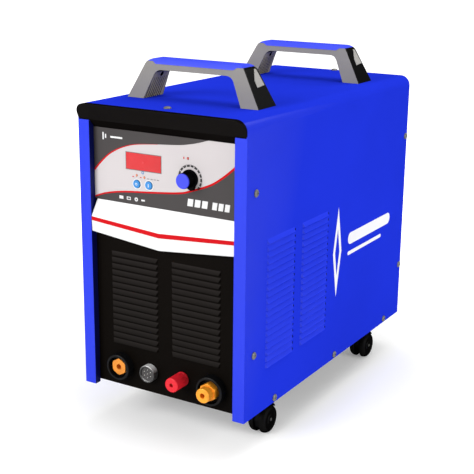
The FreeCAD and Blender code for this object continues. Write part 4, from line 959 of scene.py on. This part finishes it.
def pill(u0, v0, u1, v1):
    """Level bar with round ends."""
    radius = (v1 - v0) / 2
    return (circle((u1 - radius, v0 + radius), radius, 12, -90, 90)
            + circle((u0 + radius, v0 + radius), radius, 12, 90, 270))


# Share from front to rear, and share from the leg's top to its foot.
PAD_CORNERS = ((0.80, 0.05), (0.93, 0.07), (0.97, 0.47), (0.40, 0.50), (0.42, 0.32))
PAD_THICK = 0.6 * MM
PAD_SUNK = 0.2 * MM
PAD_STRIP = 1.5 * MM
PAD_CAST_FROM = 20 * MM
LEVEL_REACH = 0.2 * MM


def handle_pads(looks):
    """Grey inlays near the top of each handle's outer sides."""
    for place in ("front", "rear"):
        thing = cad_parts[place + "_handle_core"]
        surface = BVHTree.FromPolygons([v.co for v in thing.data.vertices],
                                       [list(p.vertices) for p in thing.data.polygons])
        flat = max((p for p in thing.data.polygons if p.normal.x > 0.5), key=lambda p: p.area)
        on_flat, out = flat.center, flat.normal
        low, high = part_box(place + "_handle_core")
        levels = []
        for z in (high.z, low.z):
            depth = [v.co.y for v in thing.data.vertices if abs(v.co.z - z) < LEVEL_REACH]
            x = on_flat.x - (z - on_flat.z) * out.z / out.x
            levels.append((Vector((x, min(depth), z)), Vector((x, max(depth), z))))
        for name, side in (("left", -1), ("right", 1)):
            mirror = Vector((side, 1, 1))
            outline = []
            for along, down in PAD_CORNERS:
                front = levels[0][0].lerp(levels[1][0], down)
                back = levels[0][1].lerp(levels[1][1], down)
                outline.append(front.lerp(back, along) * mirror)
            inlay(place + "_handle_pad_" + name, outline, out * mirror, surface, looks["pad"])


def inlay(name, outline, out, surface, material):
    """Thin plate laid on a surface, cut into level strips so that it follows the curve."""
    work = bmesh.new()
    work.faces.new([work.verts.new(p) for p in outline])
    z = min(p.z for p in outline) + PAD_STRIP
    while z < max(p.z for p in outline):
        whole = work.verts[:] + work.edges[:] + work.faces[:]
        bmesh.ops.bisect_plane(work, geom=whole, plane_co=(0, 0, z), plane_no=(0, 0, 1))
        z += PAD_STRIP
    for vertex in work.verts:
        hit = surface.ray_cast(vertex.co + out * PAD_CAST_FROM, -out)[0]
        vertex.co = hit - out * PAD_SUNK
    sheet = work.faces[:]
    raised = bmesh.ops.extrude_face_region(work, geom=sheet)["geom"]
    lifted = [item for item in raised if isinstance(item, bmesh.types.BMVert)]
    bmesh.ops.translate(work, verts=lifted, vec=out * (PAD_THICK + PAD_SUNK))
    bmesh.ops.recalc_face_normals(work, faces=work.faces)
    register(name, ordered_mesh(name, work), material, "case")


def ordered_mesh(name, work):
    """Mesh of a bmesh, with its points and faces sorted: extruding stores them in chance order."""
    points = sorted(tuple(v.co) for v in work.verts)
    rank = {point: index for index, point in enumerate(points)}
    faces = []
    for face in work.faces:
        loop = [rank[tuple(v.co)] for v in face.verts]
        first = loop.index(min(loop))
        faces.append(loop[first:] + loop[:first])
    work.free()
    mesh = bpy.data.meshes.new(name)
    mesh.from_pydata(points, [], sorted(faces))
    return mesh


PLATE_UNDER_FAN = 24 * MM
PLATE_TALL = 66 * MM
PLATE_HALF = 52 * MM
PLATE_THICK = 0.8 * MM
PLATE_SOFTEN = 0.3 * MM
RIVET_ACROSS = 48 * MM
RIVET_INSET = 4 * MM
RIVET_RADIUS = 1.6 * MM
RIVET_THICK = 0.7 * MM
# The plate's ruled lines, in millimetres across from its middle and up from its foot.
RULE_WIDTH = 0.7
RULE_HALF = 46
RULE_LEVELS = (10, 19, 28, 37, 46, 55)
UPRIGHT_LEFTS = (-20, 14)
UPRIGHT_LOW = 11.2
UPRIGHT_HIGH = 45.5


def rating_plate(looks):
    """Blank plate low on the rear panel, with its ruled table and four rivets."""
    place = Matrix(((-1, 0, 0, 0), (0, 0, 1, REAR_FACE), (0, 1, 0, 0), (0, 0, 0, 1)))
    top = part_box("fan_guard")[0].z - PLATE_UNDER_FAN
    low = top - PLATE_TALL
    solid_prism("rating_plate", rectangle(-PLATE_HALF, low, PLATE_HALF, top), place, PLATE_THICK,
                looks["plate"], PLATE_SOFTEN)
    over = place @ Matrix.Translation((0, 0, PLATE_THICK))
    rules = [(-RULE_HALF, v, RULE_HALF, v + RULE_WIDTH) for v in RULE_LEVELS]
    rules += [(u, UPRIGHT_LOW, u + RULE_WIDTH, UPRIGHT_HIGH) for u in UPRIGHT_LEFTS]
    loops = [rectangle(u0 * MM, low + v0 * MM, u1 * MM, low + v1 * MM) for u0, v0, u1, v1 in rules]
    film("rating_plate_rules", loops, over, looks["dark_ink"])
    rivets = [circle((sign * RIVET_ACROSS, v), RIVET_RADIUS, 20)
              for sign in (-1, 1) for v in (low + RIVET_INSET, top - RIVET_INSET)]
    film("rating_plate_rivets", rivets, over, looks["zinc"], thick=RIVET_THICK)


def main():
    looks = make_materials()
    dress_all(looks)
    panel_graphics(looks)
    dial_scale(looks)
    small_marks(looks)
    button_legends(looks)
    control_pins(looks)
    knob_shadow_lobe(looks)
    chevron_stripe(looks)
    side_marks(looks)
    handle_pads(looks)
    rating_plate(looks)
    studio()


# ---- Studio --------------------------------------------------------------------------------
AZIMUTH = 30.903
ELEVATION = 15.935
ROLL = 0.623
CAMERA_DISTANCE = 1.974
AIM = Vector((-0.0275, -0.0269, 0.2858))
LENS = 80.93
SENSOR = 36.0
WORLD_LIGHT = 0.30
FLOOR_HALF = 60.0
# name, place, aim, (width, height), power in watts
LIGHTS = (
    ("key", (-1.0, -2.6, 1.5), (0, -0.2, 0.35), (1.8, 1.5), 84),
    ("fill", (2.7, -0.3, 1.2), (0, 0, 0.3), (1.8, 1.6), 38),
    ("top", (0.4, 0.7, 2.7), (0, 0.2, 0.3), (2.2, 2.2), 33),
    ("back", (0.4, 2.9, 2.4), (0, 0.2, 0.4), (1.6, 1.4), 30),
)


def make_camera():
    data = bpy.data.cameras.new("camera")
    data.lens = LENS
    data.sensor_width = SENSOR
    camera = bpy.data.objects.new("camera", data)
    bpy.context.scene.collection.objects.link(camera)
    azimuth = math.radians(AZIMUTH)
    elevation = math.radians(ELEVATION)
    flat = math.cos(elevation)
    back = Vector((math.sin(azimuth) * flat, -math.cos(azimuth) * flat, math.sin(elevation)))
    camera.location = AIM + back * CAMERA_DISTANCE
    camera.rotation_mode = "QUATERNION"
    upright = (-back).to_track_quat("-Z", "Y")
    roll = Matrix.Rotation(math.radians(ROLL), 4, back).to_quaternion()
    camera.rotation_quaternion = roll @ upright
    bpy.context.scene.camera = camera


def area_light(name, spot, aim, size, power):
    data = bpy.data.lights.new(name, "AREA")
    data.shape = "RECTANGLE"
    data.size, data.size_y = size
    data.energy = power
    light = bpy.data.objects.new(name, data)
    bpy.context.scene.collection.objects.link(light)
    light.location = spot
    light.rotation_mode = "QUATERNION"
    light.rotation_quaternion = (Vector(aim) - Vector(spot)).to_track_quat("-Z", "Y")


def make_world():
    """Soft grey surroundings, seen by the camera as white."""
    world = bpy.data.worlds.new("studio")
    bpy.context.scene.world = world
    world.use_nodes = True
    tree = world.node_tree
    back = tree.nodes["Background"]
    path = tree.nodes.new("ShaderNodeLightPath")
    mix = tree.nodes.new("ShaderNodeMix")
    tree.links.new(path.outputs["Is Camera Ray"], mix.inputs[0])
    mix.inputs[2].default_value = WORLD_LIGHT
    mix.inputs[3].default_value = 1.0
    back.inputs["Color"].default_value = (1, 1, 1, 1)
    tree.links.new(mix.outputs[0], back.inputs["Strength"])


def make_floor():
    """Pale floor that fades to the white of the surroundings away from the unit."""
    mesh = bpy.data.meshes.new("floor")
    half = FLOOR_HALF
    mesh.from_pydata([(-half, -half, 0), (half, -half, 0), (half, half, 0), (-half, half, 0)], [],
                     [(0, 1, 2, 3)])
    floor = bpy.data.objects.new("floor", mesh)
    bpy.context.scene.collection.objects.link(floor)
    floor.location.z = CAD_BOX[0].z
    n = Nodes("floor_pale")
    tone = n.blend(n.swing(n.noise(0.8, 3)), (0.86, 0.86, 0.86, 1), (0.88, 0.88, 0.88, 1))
    reach = n.add("ShaderNodeVectorMath", operation="LENGTH")
    n.link(n.object, reach.inputs[0])
    seen = n.add("ShaderNodeLightPath").outputs["Is Camera Ray"]
    glow = n.maths("MULTIPLY", n.span(reach.outputs["Value"], 0.3, 1.3, 0.22, 1.0), seen)
    n.feed(n.shader, Base_Color=tone, Roughness=0.8, Specular_IOR_Level=0.1,
           Emission_Color=(1, 1, 1, 1), Emission_Strength=glow)
    mesh.materials.append(n.material)


def studio():
    make_world()
    make_floor()
    make_camera()
    for light in LIGHTS:
        area_light(*light)
    bpy.context.scene.view_settings.view_transform = "Standard"


main()
